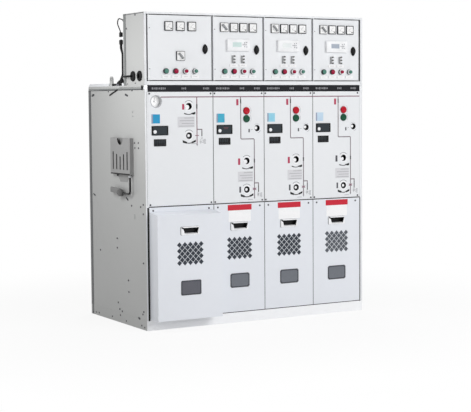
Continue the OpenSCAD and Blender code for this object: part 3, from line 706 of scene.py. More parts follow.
def side_screws():
    """Screws along the edges of the right and rear sheets and of the low-voltage box."""
    piece = Piece("sheet_screws", SCREW)
    head = screw_head()
    low, high = SIDE_LOW + SHEET_SCREW_LOW, SIDE_HIGH - SHEET_SCREW_HIGH
    rows = [low + (high - low) * k / 4 for k in range(5)]
    left, right = LEFT + SHEET_SCREW_X, RIGHT - SHEET_SCREW_X
    on_right = [(REAR - 45, z) for z in rows]
    on_right += [(FRONT + y, low - 6) for y in LOW_SCREWS_Y]
    on_right += [(BOX_BACK - 44, ROOF + z) for z in BOX_SCREWS_Z]
    for y, z in on_right:
        piece.add(head, (RIGHT, y, z), face="right")
    on_rear = [(x, REAR, z) for x in (left, right) for z in rows[1:4]]
    for x in (left + (right - left) * k / 6 for k in range(7)):
        on_rear += [(x, REAR, low), (x, REAR, high)]
        on_rear += [(x, BOX_BACK, ROOF + 14), (x, BOX_BACK, box("lv_back")[1].z - 12)]
    for at in on_rear:
        piece.add(head, at, face="rear")
    piece.done("cabinet", "bare_steel")


# Printing on the front panels

PRINT_T, LINE_W, TEXT_H, BUS_Z = 0.25, 5.2, 2.8, 583.5
PRINT_MATERIALS = (MIMIC, INK, INK_GREY, INK_PALE, LABEL_RED, INK_DARK, PRINT_PATCH, LABEL_EDGE, FEEDER)
(MIMIC_LINE, BLACK_INK, GREY_INK, PALE_INK, RED_LABEL, DARK_INK, PATCH, EDGE_LABEL, FEEDER_LINE,
 FIELD) = range(len(PRINT_MATERIALS) + 1)
SOCKET_X = 48
# Arc, left wedge and right wedge from the socket's middle: turning one way, and both ways
SWITCH_ARROW = ([(-20, -40.5), (-10, -43.5), (0, -44.5), (10, -43.5), (20, -41)],
                [(-29, -35), (-14, -40.5), (-16, -45.5), (-28, -41.5)],
                [(11, -38.5), (41, -30), (41, -43), (26, -45.5)], DARK_INK)
EARTH_ARROW = ([(-24, -36), (-12, -39.5), (0, -41), (12, -40), (26, -35)],
               [(-40, -23), (-12, -34), (-16, -43), (-38, -37.5)],
               [(42.5, -22.5), (16, -34), (20, -42), (42, -34.5)], BLACK_INK)


class PanelPrint(Piece):
    """The print of one front panel. Points are from the bay's middle and the panel's lower edge."""

    def __init__(self, bay):
        super().__init__(f"panel_print_{bay.number}", *PRINT_MATERIALS, BLUE_FIELDS[bay.number])
        self.bay = bay
        self.half = bay.width / 2
        self.base = Vector((bay.mid, FRONT, bay.panel_low))

    def line(self, points, width=LINE_W, material=MIMIC_LINE, layers=1):
        self.add(ribbon(points, width, layers * PRINT_T), self.base, material)

    def arc(self, x, z, r, start, end, width, material):
        self.line(moved(arc(r, start, end), x, z), width, material)

    def field(self, points, material):
        self.add(plate(points, 2 * PRINT_T), self.base, material)

    def label(self, x, z, w, h, material, r=1.0, layers=1):
        self.add(card(w, h, r, layers * PRINT_T, steps=2), step(self.base, x, 0, z), material)

    def text(self, x, z, w, h, rows, material=PALE_INK):
        """Plain bars that stand for lines of small print."""
        for k in range(rows):
            share = (0.62, 0.9, 0.78, 0.94, 0.55)[k % 5]
            bar = card(w * share, TEXT_H, 0.4, 2 * PRINT_T, steps=1)
            right, up = x + w * (1 - share) / 2, z + h / 2 - h * (k + 0.5) / rows
            self.add(bar, step(self.base, right, 0, up), material)

    def text_block(self, x, z, w, h):
        """A grey field with bars for its lines."""
        self.label(x, z, w, h, PATCH)
        self.text(x, z, w - 6, h, 4)

    def socket_marks(self, switch_z, earth_z):
        """Shallow arrows under the two sockets, and arcs over them."""
        for z, (middle, left, right, ink) in ((switch_z, SWITCH_ARROW), (earth_z, EARTH_ARROW)):
            self.line(moved(middle, SOCKET_X, z), 4.6, ink)
            for wedge in (left, right):
                self.field(moved(wedge, SOCKET_X, z), BLACK_INK)
            self.arc(SOCKET_X, z, 31, 44, 136, 2.8, GREY_INK)

    def earth_switch(self, x, z, reach, low):
        """A branch to the right with its blade and earth mark."""
        end = x + reach
        self.line([(x + 2.1, z), (end, z), (end, z - 12)], material=FEEDER_LINE)
        self.line([(end, z - 12), (end, low)], 5.0, BLACK_INK, 2)
        for k, w in enumerate((12, 8, 4)):
            self.line([(end - w / 2, low - 8 - 4 * k), (end + w / 2, low - 8 - 4 * k)], 1.6, GREY_INK)

    def feeder_end(self, x, z):
        """Arrow at the end of a feeder, and the sketch of a voltage divider beside it."""
        self.field(moved([(-5, 5), (0, -6), (5, 5)], x, z), GREY_INK)
        for a, b in (((16, 20), (30, 20)), ((16, 15), (30, 15)), ((23, 33), (23, 20)), ((23, 15), (23, 6))):
            self.line(moved((a, b), x, z), 1.8, GREY_INK)

    def nameplate(self):
        """A plain blue field with a duller edge."""
        x, z = 46.5 - self.half, 467
        self.label(x, z, 51, 49, FIELD)
        self.label(x - 21, z, 8, 46, EDGE_LABEL, 0.8, 2)


def first_panel_print(panel):
    x = 97.7
    panel.line([(77 - panel.half, BUS_Z), (panel.half - 2, BUS_Z)])
    panel.line([(x, 581.4), (x, 326)])
    panel.line([(x, 520), (x, 544)], 7.5, BLACK_INK, 2)
    panel.earth_switch(x, 407, 30, 369)
    panel.line([(87, 374), (109, 374)], 4, layers=2)
    panel.feeder_end(x, 322)
    panel.label(14.1, 530.5, 13, 31, RED_LABEL)
    panel.socket_marks(533, 374)
    panel.text_block(31.5, 448, 104, 58)
    panel.text(70, 330, 60, 10, 1)
    panel.text(140, 341, 24, 28, 5)


def breaker_panel_print(panel):
    panel.line([(2 - panel.half, BUS_Z), (panel.half - 2, BUS_Z)])
    panel.line([(12, 581.4), (12, 355), (12.6, 351.5), (15, 349.6), (18, 349), (92, 349), (95, 348.4),
                (97.4, 346), (98, 343), (98, 22)], material=FEEDER_LINE)
    panel.line([(12, 546), (12, 569)], 7.0, BLACK_INK, 2)
    panel.line([(98, 216), (98, 238)], 7.0, BLACK_INK, 2)
    panel.earth_switch(98, 102, 26, 51)
    for layers, lean in ((2, -5), (3, 5)):
        panel.line([(87, 69 - lean), (109, 69 + lean)], 4.2, layers=layers)
    panel.feeder_end(98, 18)
    panel.label(-9, 553, 14, 34, RED_LABEL)
    panel.label(65.5, 395, 9, 19, DARK_INK)
    panel.line([(74, 399), (88, 402)], 1.6, GREY_INK)
    panel.label(0, 224, 14, 36, RED_LABEL if panel.bay.number < 4 else DARK_INK)
    panel.label(5.5, 68, 11, 33, DARK_INK)
    panel.socket_marks(227, 67)
    for z in (505.5, 461.4):
        panel.arc(SOCKET_X, z, 31, -30, 50, 1.6, PALE_INK)
    panel.arc(116, 408, 24, 50, 130, 1.6, PALE_INK)
    panel.arc(116, 408, 26, 280, 330, 2.2, PALE_INK)
    panel.text_block(40, 139.5, 97, 58)
    panel.text(62, 11, 50, 8, 1)
    panel.text(139, 34, 18, 28, 5)


def panel_prints():
    for bay in bays:
        panel = PanelPrint(bay)
        (first_panel_print if bay is first_bay else breaker_panel_print)(panel)
        panel.nameplate()
        panel.done("cabinet", "panel_white")


def name_marks():
    """Dull bars on the black strip, three groups a bay, and a black band under it, painted shade below the
    strip.
    """
    piece = Piece("name_marks", MARK_GREY, STRIP)
    lo, hi = box("name_strip")
    z, lip = (lo.z + hi.z) / 2, 4.6
    # A band of the strip's black under it: painted shade.
    piece.add(card(hi.x - lo.x, lip, 0, 0.8, 0.2), ((lo.x + hi.x) / 2, FRONT, lo.z - lip / 2), 1)
    groups = (13, 9, 12, 8, 11, 14, 9, 10), (9, 12, 10), (11, 9, 12, 8)
    for bay in bays:
        shares = (0.167, 0.549, 0.893) if bay is first_bay else (0.19, 0.565, 0.862)
        for share, widths in zip(shares, groups):
            x = bay.left + share * bay.width - sum(widths) / 2
            for k, w in enumerate(widths):
                bar = card(w - 3.4, (11, 9, 12)[k % 3], 0.6, PRINT_T, steps=1)
                piece.add(bar, (x + w / 2, FRONT, z - 2.5))
                x += w
    piece.done("cabinet", "name_black")


# Sockets, gauge, plates and buttons on the front panels

SOCKET_X_SHARE, FIRST_SOCKET_X_SHARE, CHARGE_X_SHARE = 0.148, 0.121, 0.357
FIRST_SOCKET_SHARES, SOCKET_SHARES, CHARGE_SHARE = (0.871, 0.611), (0.371, 0.110), 0.667
SOCKET_R, CHARGE_R, SOCKET_D, SHAFT_OFF = 20, 15.5, 24, 2.6
# Each shutter's width, and its place from the socket's middle
SHUTTERS = {1: (25.5, -11.5, -5), 2: (24, -10, -4), 3: (21, -10, -3), 4: (19, -9, -5)}
RED_SHARE, GREEN_SHARE = 0.826, 0.754
BUTTON_R, BUTTON_PROUD, BUTTON_TAIL = 19.5, 9, 26


def socket_body(r, bore, collar):
    """A white flange on the panel round a black collar and a black bore with a closed floor."""
    d = SOCKET_D
    shape = turned([(0, d + 5), (r - 0.2, d + 5), (r - 0.2, 0), (r + 2.5, 0), (r + 2.5, -1.3), (r + 1.8, -2),
                    (r - 1.2, -2), (r - 1.8, -1), (bore, -1), (bore, d), (0, d)], 36)
    for f in shape.faces:
        c = f.calc_center_median()
        f.material_index = 0 if c.y > 0 or math.hypot(c.x, c.z) < collar else 1
    return shape


def sockets():
    """Operating sockets: the upper one half behind its shutter, the lower one a ring round a pale shaft."""
    piece = Piece("socket_cups", BLACK, IVORY)
    upper_body = socket_body(SOCKET_R, SOCKET_R - 1.8, SOCKET_R - 1.6)
    lower_body = socket_body(SOCKET_R, 11, SOCKET_R - 1.6)
    charge_body = socket_body(CHARGE_R, CHARGE_R - 1.8, CHARGE_R + 2)
    shaft = turned([(0, -1.4), (7, -1.4), (8, -0.4), (8, SOCKET_D), (0, SOCKET_D)], 28)
    inner, outer = SOCKET_R + 2.4, SOCKET_R + 6
    halo = turned([(inner, 0), (inner, -PRINT_T), (outer, -PRINT_T), (outer, 0), (inner, 0)], 40)
    small_shutter = plate(ellipse(17, 17, 28), 1.2, 0.4)
    for bay in bays:
        first = bay is first_bay
        x = bay.width * (FIRST_SOCKET_X_SHARE if first else SOCKET_X_SHARE)
        upper, lower = (bay.panel(x, share) for share in (FIRST_SOCKET_SHARES if first else SOCKET_SHARES))
        piece.add(upper_body, upper)
        across, x_off, z_off = SHUTTERS[bay.number]
        piece.add(plate(ellipse(across, across, 36), 1.2, 0.4), step(upper, x_off, 2, z_off), 1)
        piece.add(lower_body, lower)
        piece.add(shaft, step(lower, -SHAFT_OFF), 1)
        for at in (upper, lower):
            piece.add(halo, at, 1)
        if not first:
            at = bay.panel(bay.width * CHARGE_X_SHARE, CHARGE_SHARE)
            piece.add(charge_body, at)
            piece.add(small_shutter, step(at, -8.5, 2, 1.5), 1)
    piece.done("cabinet", "black_plastic", "operating_sockets")


GAUGE_X, GAUGE_SHARE, GAUGE_R, GAUGE_RECESS, GAUGE_BODY = 50, 0.915, 33, 27, 46


def gauge():
    """Gas pressure gauge: grey case, deep white dial with a painted glow against the shade of its recess,
    faint ticks and a thin needle.
    """
    piece = Piece("gauge", GAUGE_GREY, GLOWING_DIAL, INK_GREY, PALE_GREY)
    at = first_bay.panel(GAUGE_X - first_bay.width / 2, GAUGE_SHARE)
    r, back = GAUGE_R, GAUGE_BODY
    case = turned([(0, back), (r - 3, back), (r - 0.2, back - 3), (r - 0.2, 0), (r + 1.5, 0), (r + 1.5, -0.9),
                   (r + 0.8, -1.5), (r - 2.2, -1.5), (r - 3.2, 0), (r - 3.2, GAUGE_RECESS),
                   (0, GAUGE_RECESS)], 48)
    for f in case.faces:
        f.material_index = 3 if f.calc_center_median().y < 0 else 0
    piece.add(case, at)
    face_r = r - 3.4
    # The dial glows: painted light against the shade of the recess.
    piece.add(turned([(0, -0.4), (face_r, -0.4), (face_r, 0)], 48), step(at, out=-GAUGE_RECESS), 1)
    raised = step(at, out=0.4 - GAUGE_RECESS)
    for k in range(11):
        tick = spoke(225 - 27 * k, (0.76 if k % 5 else 0.72) * face_r, 0.88 * face_r)
        piece.add(ribbon(tick, 0.9, PRINT_T), raised, 3)
    piece.add(ribbon(spoke(80, -0.24 * face_r, 0.7 * face_r), 1.6, 0.8), step(raised, out=0.8), 2)
    piece.add(turned([(0, -2.6), (2.4, -2.4), (3, -1.6), (3, 0)], 18), raised, 2)
    piece.done("cabinet", "gauge_metal", "pressure_gauge")


UNIT_X, UNIT_SHARE, UNIT_W, UNIT_H, UNIT_T, UNIT_SUNK = 70.5, 0.660, 99, 51, 4, 0.8
KNOB_X, KNOB_Z, KNOB_R = -31, -6.5, 9.6
DISPLAY_SHARE, DISPLAY_W, DISPLAY_H, DISPLAY_T = 0.554, 73, 38, 3


def indicator_units():
    """Slate plates with black ends, a sunk field and a plain white knob."""
    piece = Piece("indicator_plates", BLACK, SLATE, IVORY, INK_RED)
    w, h, top = UNIT_W, UNIT_H, -UNIT_T
    frame_plate = rounds((w, h, 3, 0), (w, h, 3, top + 1), (w - 2, h - 2, 2.4, top), (w - 15, h - 7, 2, top),
                         (w - 16, h - 8, 2, top + UNIT_SUNK))
    field = card(w - 16.4, h - 8.4, 2, 0.3)
    r = KNOB_R
    knob = turned([(0, -5), (0.7 * r, -5), (0.92 * r, -4.2), (r, -2.8), (r, 0)], 32)
    for bay in bays:
        at = bay.panel(UNIT_X - bay.width / 2, UNIT_SHARE)
        floor = step(at, out=UNIT_T - UNIT_SUNK)
        piece.add(frame_plate, at)
        piece.add(field, floor, 1)
        piece.add(knob, step(floor, KNOB_X, 0, KNOB_Z), 2)
        if bay.number == 2:
            for w, z in ((30, 11), (22, 4)):
                piece.add(card(w, 3, 0.5, 0.5, steps=1), step(floor, 8, 0, z), 3)
    piece.done("cabinet", "black_plastic", "indicator_units")


def voltage_displays():
    """Black modules with a row of upright dark windows and test points below them."""
    piece = Piece("voltage_modules", BLACK, SLATE, PANE_RIM)
    case = card(DISPLAY_W, DISPLAY_H, 2, DISPLAY_T, 0.8)
    cell = card(5.6, 19, 1, 0.4, steps=2)
    jack = turned([(0, 0.2), (1.6, 0.2), (1.8, -0.8), (2.8, -0.8), (3, 0)], 16)
    for bay in bays:
        at = bay.panel(UNIT_X - bay.width / 2, DISPLAY_SHARE)
        piece.add(case, at)
        for k in range(6):
            x = (k - 2.5) * 10.6
            if k < 5 or bay is first_bay:
                piece.add(cell, step(at, x, DISPLAY_T, 4), 1)
            piece.add(jack, step(at, x, DISPLAY_T, -12), 2)
    piece.done("cabinet", "black_plastic", "voltage_displays")


def push_button(bay, share, colour, finish):
    """A sliding cap with a domed front and a finger dish, and its stem behind the panel."""
    r, tail, face = BUTTON_R, BUTTON_TAIL, -BUTTON_PROUD
    piece = Piece(f"{colour}_cap_{bay.number}", finish)
    cap = turned([(0, tail), (0.6 * r, tail), (0.6 * r, 8), (r, 8), (r, face + 3), (0.97 * r, face + 1.4),
                  (0.88 * r, face + 0.3), (0.78 * r, face), (0.5 * r, face + 0.7), (0, face + 1.1)], 48)
    piece.add(cap, bay.panel(bay.width * SOCKET_X_SHARE, share))
    body = f"{colour}_button_{bay.number}"
    piece.done(body, f"button_{colour}", body)


def buttons():
    r = BUTTON_R
    collar = turned([(r + 0.9, 0), (r + 0.9, -0.9), (r + 1.3, -1.3), (r + 2, -1.2), (r + 2.4, -0.5),
                     (r + 2.4, 0), (r + 0.9, 0)], 48)
    piece = Piece("button_collars", PALE_GREY)
    for bay in breaker_bays:
        for share, colour, finish in ((RED_SHARE, "red", RED_CAP), (GREEN_SHARE, "green", GREEN_CAP)):
            push_button(bay, share, colour, finish)
            piece.add(collar, bay.panel(bay.width * SOCKET_X_SHARE, share))
    piece.done("cabinet", "black_plastic")


# Cable covers

GRIP_Z, GRIP_W, GRIP_H, GRIP_D, GRIP_PROUD, GRIP_TAPER = 540, 111, 45, 24, 3, 22
WINDOW_Z, WINDOW_W, WINDOW_H, WINDOW_R = 236, 123, 80, 8
VENT_Z, VENT_W, VENT_H, VENT_T = 417, 172, 138, 1.5
SHEET = 2


def grip_mouth(top, low, high, bottom):
    """A mouth that narrows downwards."""
    return rounded([(top / 2, high), (-top / 2, high), (-low / 2, bottom), (low / 2, bottom)], 1.5)


def grip_pull():
    """A flush pull: a grey outline set off to the left and up as the rim's painted shadow, white rim, white
    lower ledge and a black cavity, closed behind, its top wall black as painted shade.
    """
    w, h, face = GRIP_W, GRIP_H, -GRIP_PROUD
    top, high, aside = w - 10, h / 2 - 5, 4
    low = top - GRIP_TAPER
    cup = grip_mouth(top, low, high, -high)
    # A grey outline a little larger than the rim, set off to the left and up: the rim's painted shadow.
    rim_shadow = moved(round_rect(w + 5, h + 2, 6), -2, 0.5)
    rim = round_rect(w, h, 6)
    mouth = moved(grip_mouth(top - 5, low - 2, high - 1, 1 - high), aside, 0)
    ledge = moved(grip_mouth(top - 8, low + 2, high - 2, 6 - high), aside, 0)
    floor = moved(grip_mouth(top - 9, low + 1, high - 2, 7 - high), aside / 2, 0)
    pull = stack((cup, GRIP_D), (cup, 0), (rim_shadow, 0), (rim_shadow, -0.8), (rim, -0.8), (rim, face + 0.8),
                 (round_rect(w - 2, h - 2, 5.2), face), (mouth, face), (ledge, 7), (floor, GRIP_D - 2))
    for f in pull.faces:
        c = f.calc_center_median()
        inside = abs(c.x - aside) < top / 2 - 2 and abs(c.z) < high - 0.5
        deep = c.y > 7 and f.normal.y < 0.5
        # Black: the back of the cavity, its walls facing left, and its top wall, which is painted shade.
        black_and_shaded = inside and c.y > face + 0.5 and (deep or f.normal.z < -0.5 or f.normal.x < -0.4)
        f.material_index = 1 if black_and_shaded else 2 if -0.9 < c.y < 0.1 else 0
    return pull


def grips():
    piece = Piece("grip_pulls", IVORY, BLACK, MID_GREY)
    pull = grip_pull()
    # A black line from the rim's upper left corner into the cavity: painted shade where its top and left
    # walls meet.
    corner_shadow = ribbon([(-53, 19), (-39, 11)], 7.5, 0.6)
    for bay in bays:
        piece.add(pull, (bay.mid, bay.cover_face, GRIP_Z))
        piece.add(corner_shadow, (bay.mid, bay.cover_face - GRIP_PROUD, GRIP_Z), 1)
    piece.done("cabinet", "panel_white", "cover_grips")


def vent_filters():
    """Woven filter sheets on the back of the vents, the last one paler."""
    piece = Piece("vent_filters", FILTER, PALE_FILTER)
    sheet = card(VENT_W, VENT_H, 0, VENT_T)
    for bay in bays:
        piece.add(sheet, (bay.mid, bay.cover_face + SHEET + VENT_T, VENT_Z), int(bay is bays[-1]))
    piece.done("cabinet", "black_plastic")


def windows():
    """Smoked panes with a raised darker rim. The first has rounder corners and sits a little aside."""
    piece = Piece("window_panes", PANE_RIM, PANE, PALE_PANE)
    levels = ((12, 4), (11, 0), (0, 0), (0, -1.6), (1.6, -2.4), (12, -2.4), (13.5, -1.2))
    for bay in bays:
        steps, pane, x, z = (5, 1, 3, -4) if bay is first_bay else (1, 2, 0, 0)
        rim = stack(*((round_rect(WINDOW_W - less, WINDOW_H - less, WINDOW_R, steps), y)
                      for less, y in levels))
        at = Vector((bay.mid + x, bay.cover_face, WINDOW_Z + z))
        piece.add(rim, at)
        piece.add(card(WINDOW_W - 14, WINDOW_H - 14, WINDOW_R, 0.4, steps=steps), step(at, out=1.2), pane)
    piece.done("cabinet", "smoked_pane", "inspection_windows")


PLATE_X, PLATE_R = 1.5, 2
# Width, height, thickness and place up of the red band and of the white field
PLATES = ((153, 31, 0.6, 644), (143, 62, 0.5, 596))


def cover_plates():
    """Bare plates above the grips: a red band over a white field."""
    piece = Piece("cover_plates", PLATE_RED, LABEL_WHITE)
    for bay in breaker_bays:
        for material, (w, h, thick, z) in enumerate(PLATES):
            piece.add(card(w, h, PLATE_R, thick), (bay.mid + PLATE_X, FRONT, z), material)
    piece.done("cabinet", "panel_white")


# Instruments of the low-voltage doors

LOW_SHIFT, LAMP_SHIFT = -4, -0.5
METER_SHARE, RELAY_SHARE, LINK_SHARE, LAMP_SHARE, SELECTOR_SHARE = 0.834, 0.555, 0.333, 0.140, 0.376
METER_W, METER_T, METER_BODY, METER_SUNK = 50, 8, 52, 1.4
METER_PITCH_FIRST, METER_PITCH, LAMP_PITCH = 70, 60.5, 59
RELAY_W, RELAY_H, RELAY_T, RELAY_BODY = 144, 65, 15, 70
LINK_W, LINK_H, LINK_T = 30, 47, 2
LAMP_R, LAMP_T, PRESS_T, LAMP_BODY, SELECTOR_TOP = 15, 18, 25, 46, 18
INSTRUMENT_MATERIALS = (DARK, BLACK, IVORY, DIAL, INK_GREY, MID_GREY, BRIGHT, LAMP_GREEN, LAMP_RED,
                        LABEL_WHITE, INK_PALE, LINK_GREY, PALE_GREY)
(CASE, JET, SHELL, SCALE, NEEDLE, KEY, METAL, GREEN_LENS, RED_LENS, TAG, FAINT, CLAMP, PALE_KEY,
 SCREEN) = range(len(INSTRUMENT_MATERIALS) + 1)


def square_case(piece, at, rim):
    """A square case on the door with a sunk white face; gives the face's place."""
    w, inner, top = METER_W, METER_W - 2 * rim, -METER_T
    piece.add(rounds((w, w, 2, 0), (w, w, 2, top + 1.2), (w - 1.6, w - 1.6, 1.6, top), (inner, inner, 1, top),
                     (inner - 1, inner - 1, 1, top + METER_SUNK)), at, CASE)
    floor = step(at, out=METER_T - METER_SUNK)
    piece.add(card(inner - 1.1, inner - 1.1, 1, 0.3), floor, SCALE)
    return step(floor, out=0.3)


def meter(piece, at):
    """A square moving-iron meter: dark rim, white scale, faint arc, ticks, needle and pivot."""
    w = METER_W
    pivot = step(square_case(piece, at, 3.8), 0.27 * w, 0, -0.26 * w)
    piece.add(ribbon(arc(0.46 * w, 100, 172, 14), 0.8, PRINT_T), pivot, FAINT)
    for k in range(9):
        tick = spoke(101 + 8.7 * k, 0.47 * w, (0.505 if k % 2 else 0.53) * w)
        piece.add(ribbon(tick, 0.7, PRINT_T), pivot, FAINT)
    piece.add(ribbon(spoke(155, 0.08 * w, 0.44 * w), 1, 0.6), pivot, NEEDLE)
    piece.add(card(0.15 * w, 0.11 * w, 1.2, 1.2, 0.4), pivot, JET)
    piece.add(block(w - 5, METER_BODY, w - 5, 1), step(at, out=-METER_BODY), JET)
    stud = turned([(0, -7), (2.4, -7), (2.4, -3), (4.4, -3), (4.4, 0)], 6)
    for x in (-0.26 * w, 0.26 * w):
        piece.add(stud, step(at, x, -METER_BODY), METAL, face="rear")


def selector(piece, at):
    """A square switch: thin dark rim, white face, and a fat slanting knob."""
    w = METER_W
    front = square_case(piece, at, 1.8)
    piece.add(turned([(0, -3), (0.24 * w, -3), (0.27 * w, -2), (0.27 * w, 0)], 36), front, SHELL)
    tall = SELECTOR_TOP - METER_T + 1.1
    knob = rounds((0.8 * w, 11, 4, 0), (0.8 * w, 11, 4, 2.5 - tall), (0.76 * w, 8, 3, -tall))
    piece.add(knob, front, KEY, 48)
    for degrees in (45, 90, 135):
        piece.add(ribbon(spoke(degrees, 0.34 * w, 0.41 * w), 1.2, PRINT_T), front, NEEDLE)
    piece.add(turned([(0, 0), (15, 0), (15, METER_BODY), (0, METER_BODY)], 24), at, JET)


def relay(piece, at):
    """A protection relay: white case, display, key pad, and its rear case."""
    w, h, top = RELAY_W, RELAY_H, -RELAY_T
    piece.add(rounds((w, h, 3, 0), (w, h, 3, top + 2.4), (w - 1.6, h - 1.6, 3, top + 0.8),
                     (w - 5, h - 5, 2, top)), at, SHELL)
    front = step(at, out=RELAY_T)
    screen = step(front, -12, 0, 3)
    piece.add(rounds((60, 30, 1.5, 0), (59, 29, 1.5, -0.8), (56, 26, 1, -0.8), (55.4, 25.4, 1, -0.3)),
              screen, SHELL)
    piece.add(card(55.6, 25.6, 1, 0.45), screen, SCREEN)
    key = card(7.4, 7.4, 1.8, 1.4, 0.5, 3)
    for x, z in ((0, 0), (-10, 0), (10, 0), (0, 10), (0, -10), (13, -12), (13, 12)):
        piece.add(key, step(front, 36 + x, 0, 3 + z), PALE_KEY)
    piece.add(block(w - 12, RELAY_BODY, h - 12, 1.5), step(at, out=-RELAY_BODY), CASE)
    terminal = block(13, 6, 34, 1)
    for k in range(-3, 4):
        piece.add(terminal, step(at, 17 * k, 5.5 - RELAY_BODY), JET, face="rear")


def links(piece, at):
    """A test link: a grey spine with three dark clamp knobs to its right."""
    piece.add(card(LINK_W, LINK_H, 2, LINK_T, 0.5), at, SHELL)
    front = step(at, out=LINK_T)
    piece.add(block(11, 4, 42, 1.4), step(front, -6), KEY)
    knob = turned([(0, -7), (3.4, -7), (4.6, -6), (4.8, -1), (4, 0)], 16)
    for z in (17, 0, -17):
        piece.add(block(17, 3, 7, 1), step(front, 1, 0, z), CLAMP)
        piece.add(knob, step(front, 7, 0, z), CLAMP)


def lamp(piece, at, colour):
    """A signal lamp: dark stepped body and a ribbed lens dome."""
    r, top = LAMP_R, -LAMP_T
    piece.add(turned([(0.8 * r, 0), (r, 0), (r, -5), (0.97 * r, top + 7), (0.93 * r, top + 6),
                      (0.84 * r, top + 6), (0.8 * r, top + 8), (0.8 * r, 0)], 32), at, CASE)
    piece.add(turned([(0.84 * r, -4), (0.84 * r, top + 5), (0.79 * r, top + 2.4), (0.64 * r, top + 1),
                      (0.36 * r, top + 0.2), (0, top)], 32), at, colour)


def press(piece, at, colour):
    """A push-button: dark base, white ring and a coloured cap."""
    r, top = LAMP_R, -PRESS_T
    piece.add(turned([(0, 0), (r, 0), (r, -7), (0.94 * r, -8), (0, -8)], 32), at, CASE)
    piece.add(turned([(0.64 * r, -8), (0.92 * r, -8), (0.92 * r, -14.4), (0.88 * r, -15.4), (0.7 * r, -15.4),
                      (0.64 * r, -14), (0.64 * r, -8)], 32), at, SHELL)
    piece.add(turned([(0.62 * r, -8), (0.62 * r, top + 3), (0.56 * r, top + 1), (0.44 * r, top),
                      (0, top)], 32), at, colour)


def tag(piece, at):
    """A white tag with a grey line of painted shade at its left edge and a faint line of print."""
    piece.add(card(48, 15, 1, 0.6, steps=2), at, TAG)
    # Painted shade: a grey line down the tag's left edge.
    piece.add(card(1.6, 14, 0, 0.7), step(at, -24.6), FAINT)
    piece.add(card(24, 1.6, 0.4, 0.6 + PRINT_T, steps=1), at, PALE_KEY)


def lamp_row(piece, bay):
    """Two lamps and two push-buttons with their tags, and their bodies behind the door."""
    stem = turned([(0, 0), (11, 0), (11, 10), (14, 10), (14, 16), (10, 16), (10, LAMP_BODY),
                   (0, LAMP_BODY)], 20)
    row = ((lamp, GREEN_LENS), (lamp, RED_LENS), (press, RED_LENS), (press, GREEN_LENS))
    for k, (kind, colour) in enumerate(row):
        at = bay.door((k - 1.5) * LAMP_PITCH + LAMP_SHIFT, LAMP_SHARE)
        kind(piece, at, colour)
        piece.add(stem, at, JET)
        tag(piece, step(at, 2, 0, -29))


def door_instruments():
    for bay in bays:
        first = bay is first_bay
        screen = () if first else (DISPLAYS[bay.number],)
        piece = Piece(f"door_instruments_{bay.number}", *INSTRUMENT_MATERIALS, *screen)
        count, pitch = (3, METER_PITCH_FIRST) if first else (4, METER_PITCH)
        places = [bay.door((k - (count - 1) / 2) * pitch, METER_SHARE) for k in range(count)]
        selector(piece, bay.door(0, SELECTOR_SHARE) if first else places.pop(0))
        for at in places:
            meter(piece, at)
        if not first:
            relay(piece, bay.door(LOW_SHIFT, RELAY_SHARE))
            for side in (-0.5, 0.5):
                at = bay.door(side * LAMP_PITCH + LOW_SHIFT, LINK_SHARE)
                links(piece, at)
                tag(piece, step(at, 3, 0, -34))
        lamp_row(piece, bay)
        piece.done(f"door_{bay.number}", "instrument_dark", f"instruments_{bay.number}")


LOCK_INSET, LOCK_SHARE = 48, 0.485
LOCK_W, LOCK_H, LOCK_T, LOCK_GAP = 30, 54, 14, 0.3


def locks():
    """Black quarter-turn knobs with a key barrel, their shaft and cam."""
    levels = ((1.0, 0), (1.0, 0.35), (0.94, 0.62), (0.82, 0.85), (0.62, 1.0))
    knob = stack(*((pointed_oval(LOCK_W * s, LOCK_H * s), -LOCK_T * d) for s, d in levels))
    for bay in bays:
        piece = Piece(f"lock_knob_{bay.number}", BLACK, DARK, STEEL)
        at = bay.door(bay.width / 2 - LOCK_INSET, LOCK_SHARE)
        lo, hi = box(f"lock_{bay.number}")
        piece.add(knob, step(at, out=LOCK_GAP))
        face = step(at, out=LOCK_T + LOCK_GAP)
        piece.add(turned([(0, -0.6), (4.4, -0.6), (5, 0), (5, 1)], 24), face)
        piece.add(card(1.2, 5.6, 0.4, 0.9, steps=1), face, 1)
        depth, cam_h = hi.y - FRONT, at.z - lo.z
        piece.add(turned([(0, 0), (9, 0), (9, depth), (0, depth)], 24), at, 2)
        piece.add(block(16, 4, cam_h, 0.8), step(at, out=-depth, z=-cam_h / 2), 2)
        piece.done(f"knob_{bay.number}", "black_plastic", f"lock_{bay.number}")


HINGE_SCREW_R, HINGE_SCREW_X, HINGE_SCREWS_Z = 2.6, 14.5, (1624.6, 1407.7)


def door_trim():
    """Hinge screws, a rubber lip on the lock side, and a foam seal inside each door's fold."""
    lip, seal, seal_t, inset = 3.4, 9, 7, 16
    for bay in bays:
        piece = Piece(f"door_trim_{bay.number}", SCREW, RUBBER, SEAL_SHADOW)
        lo, hi = box(f"lv_door_{bay.number}")
        w, h = hi.x - lo.x, hi.z - lo.z
        middle = Vector(((lo.x + hi.x) / 2, FRONT, (lo.z + hi.z) / 2))
        piece.add(card(lip, h - 2, 0, 0.5, 0.2), step(middle, (w - lip) / 2), 2)
        for z in HINGE_SCREWS_Z:
            piece.add(screw_head(HINGE_SCREW_R), (bay.left + HINGE_SCREW_X, FRONT, z))
        for side in (-1, 1):
            upright, level = side * (w / 2 - inset), side * (h / 2 - inset)
            piece.add(block(seal, seal_t, h - 2 * inset, 2), step(middle, upright, -SHEET - seal_t), 1)
            piece.add(block(w - 2 * inset, seal_t, seal, 2), step(middle, 0, -SHEET - seal_t, level), 1)
        piece.done(f"door_{bay.number}", "rubber_black")


# Left side: leads, glands, lever, marks

LEAD_CORNER = Vector((LEFT, BOX_BACK, ROOF))
LEAD_D, LOOP_D, LEAD_STEPS = 10, 6, 8
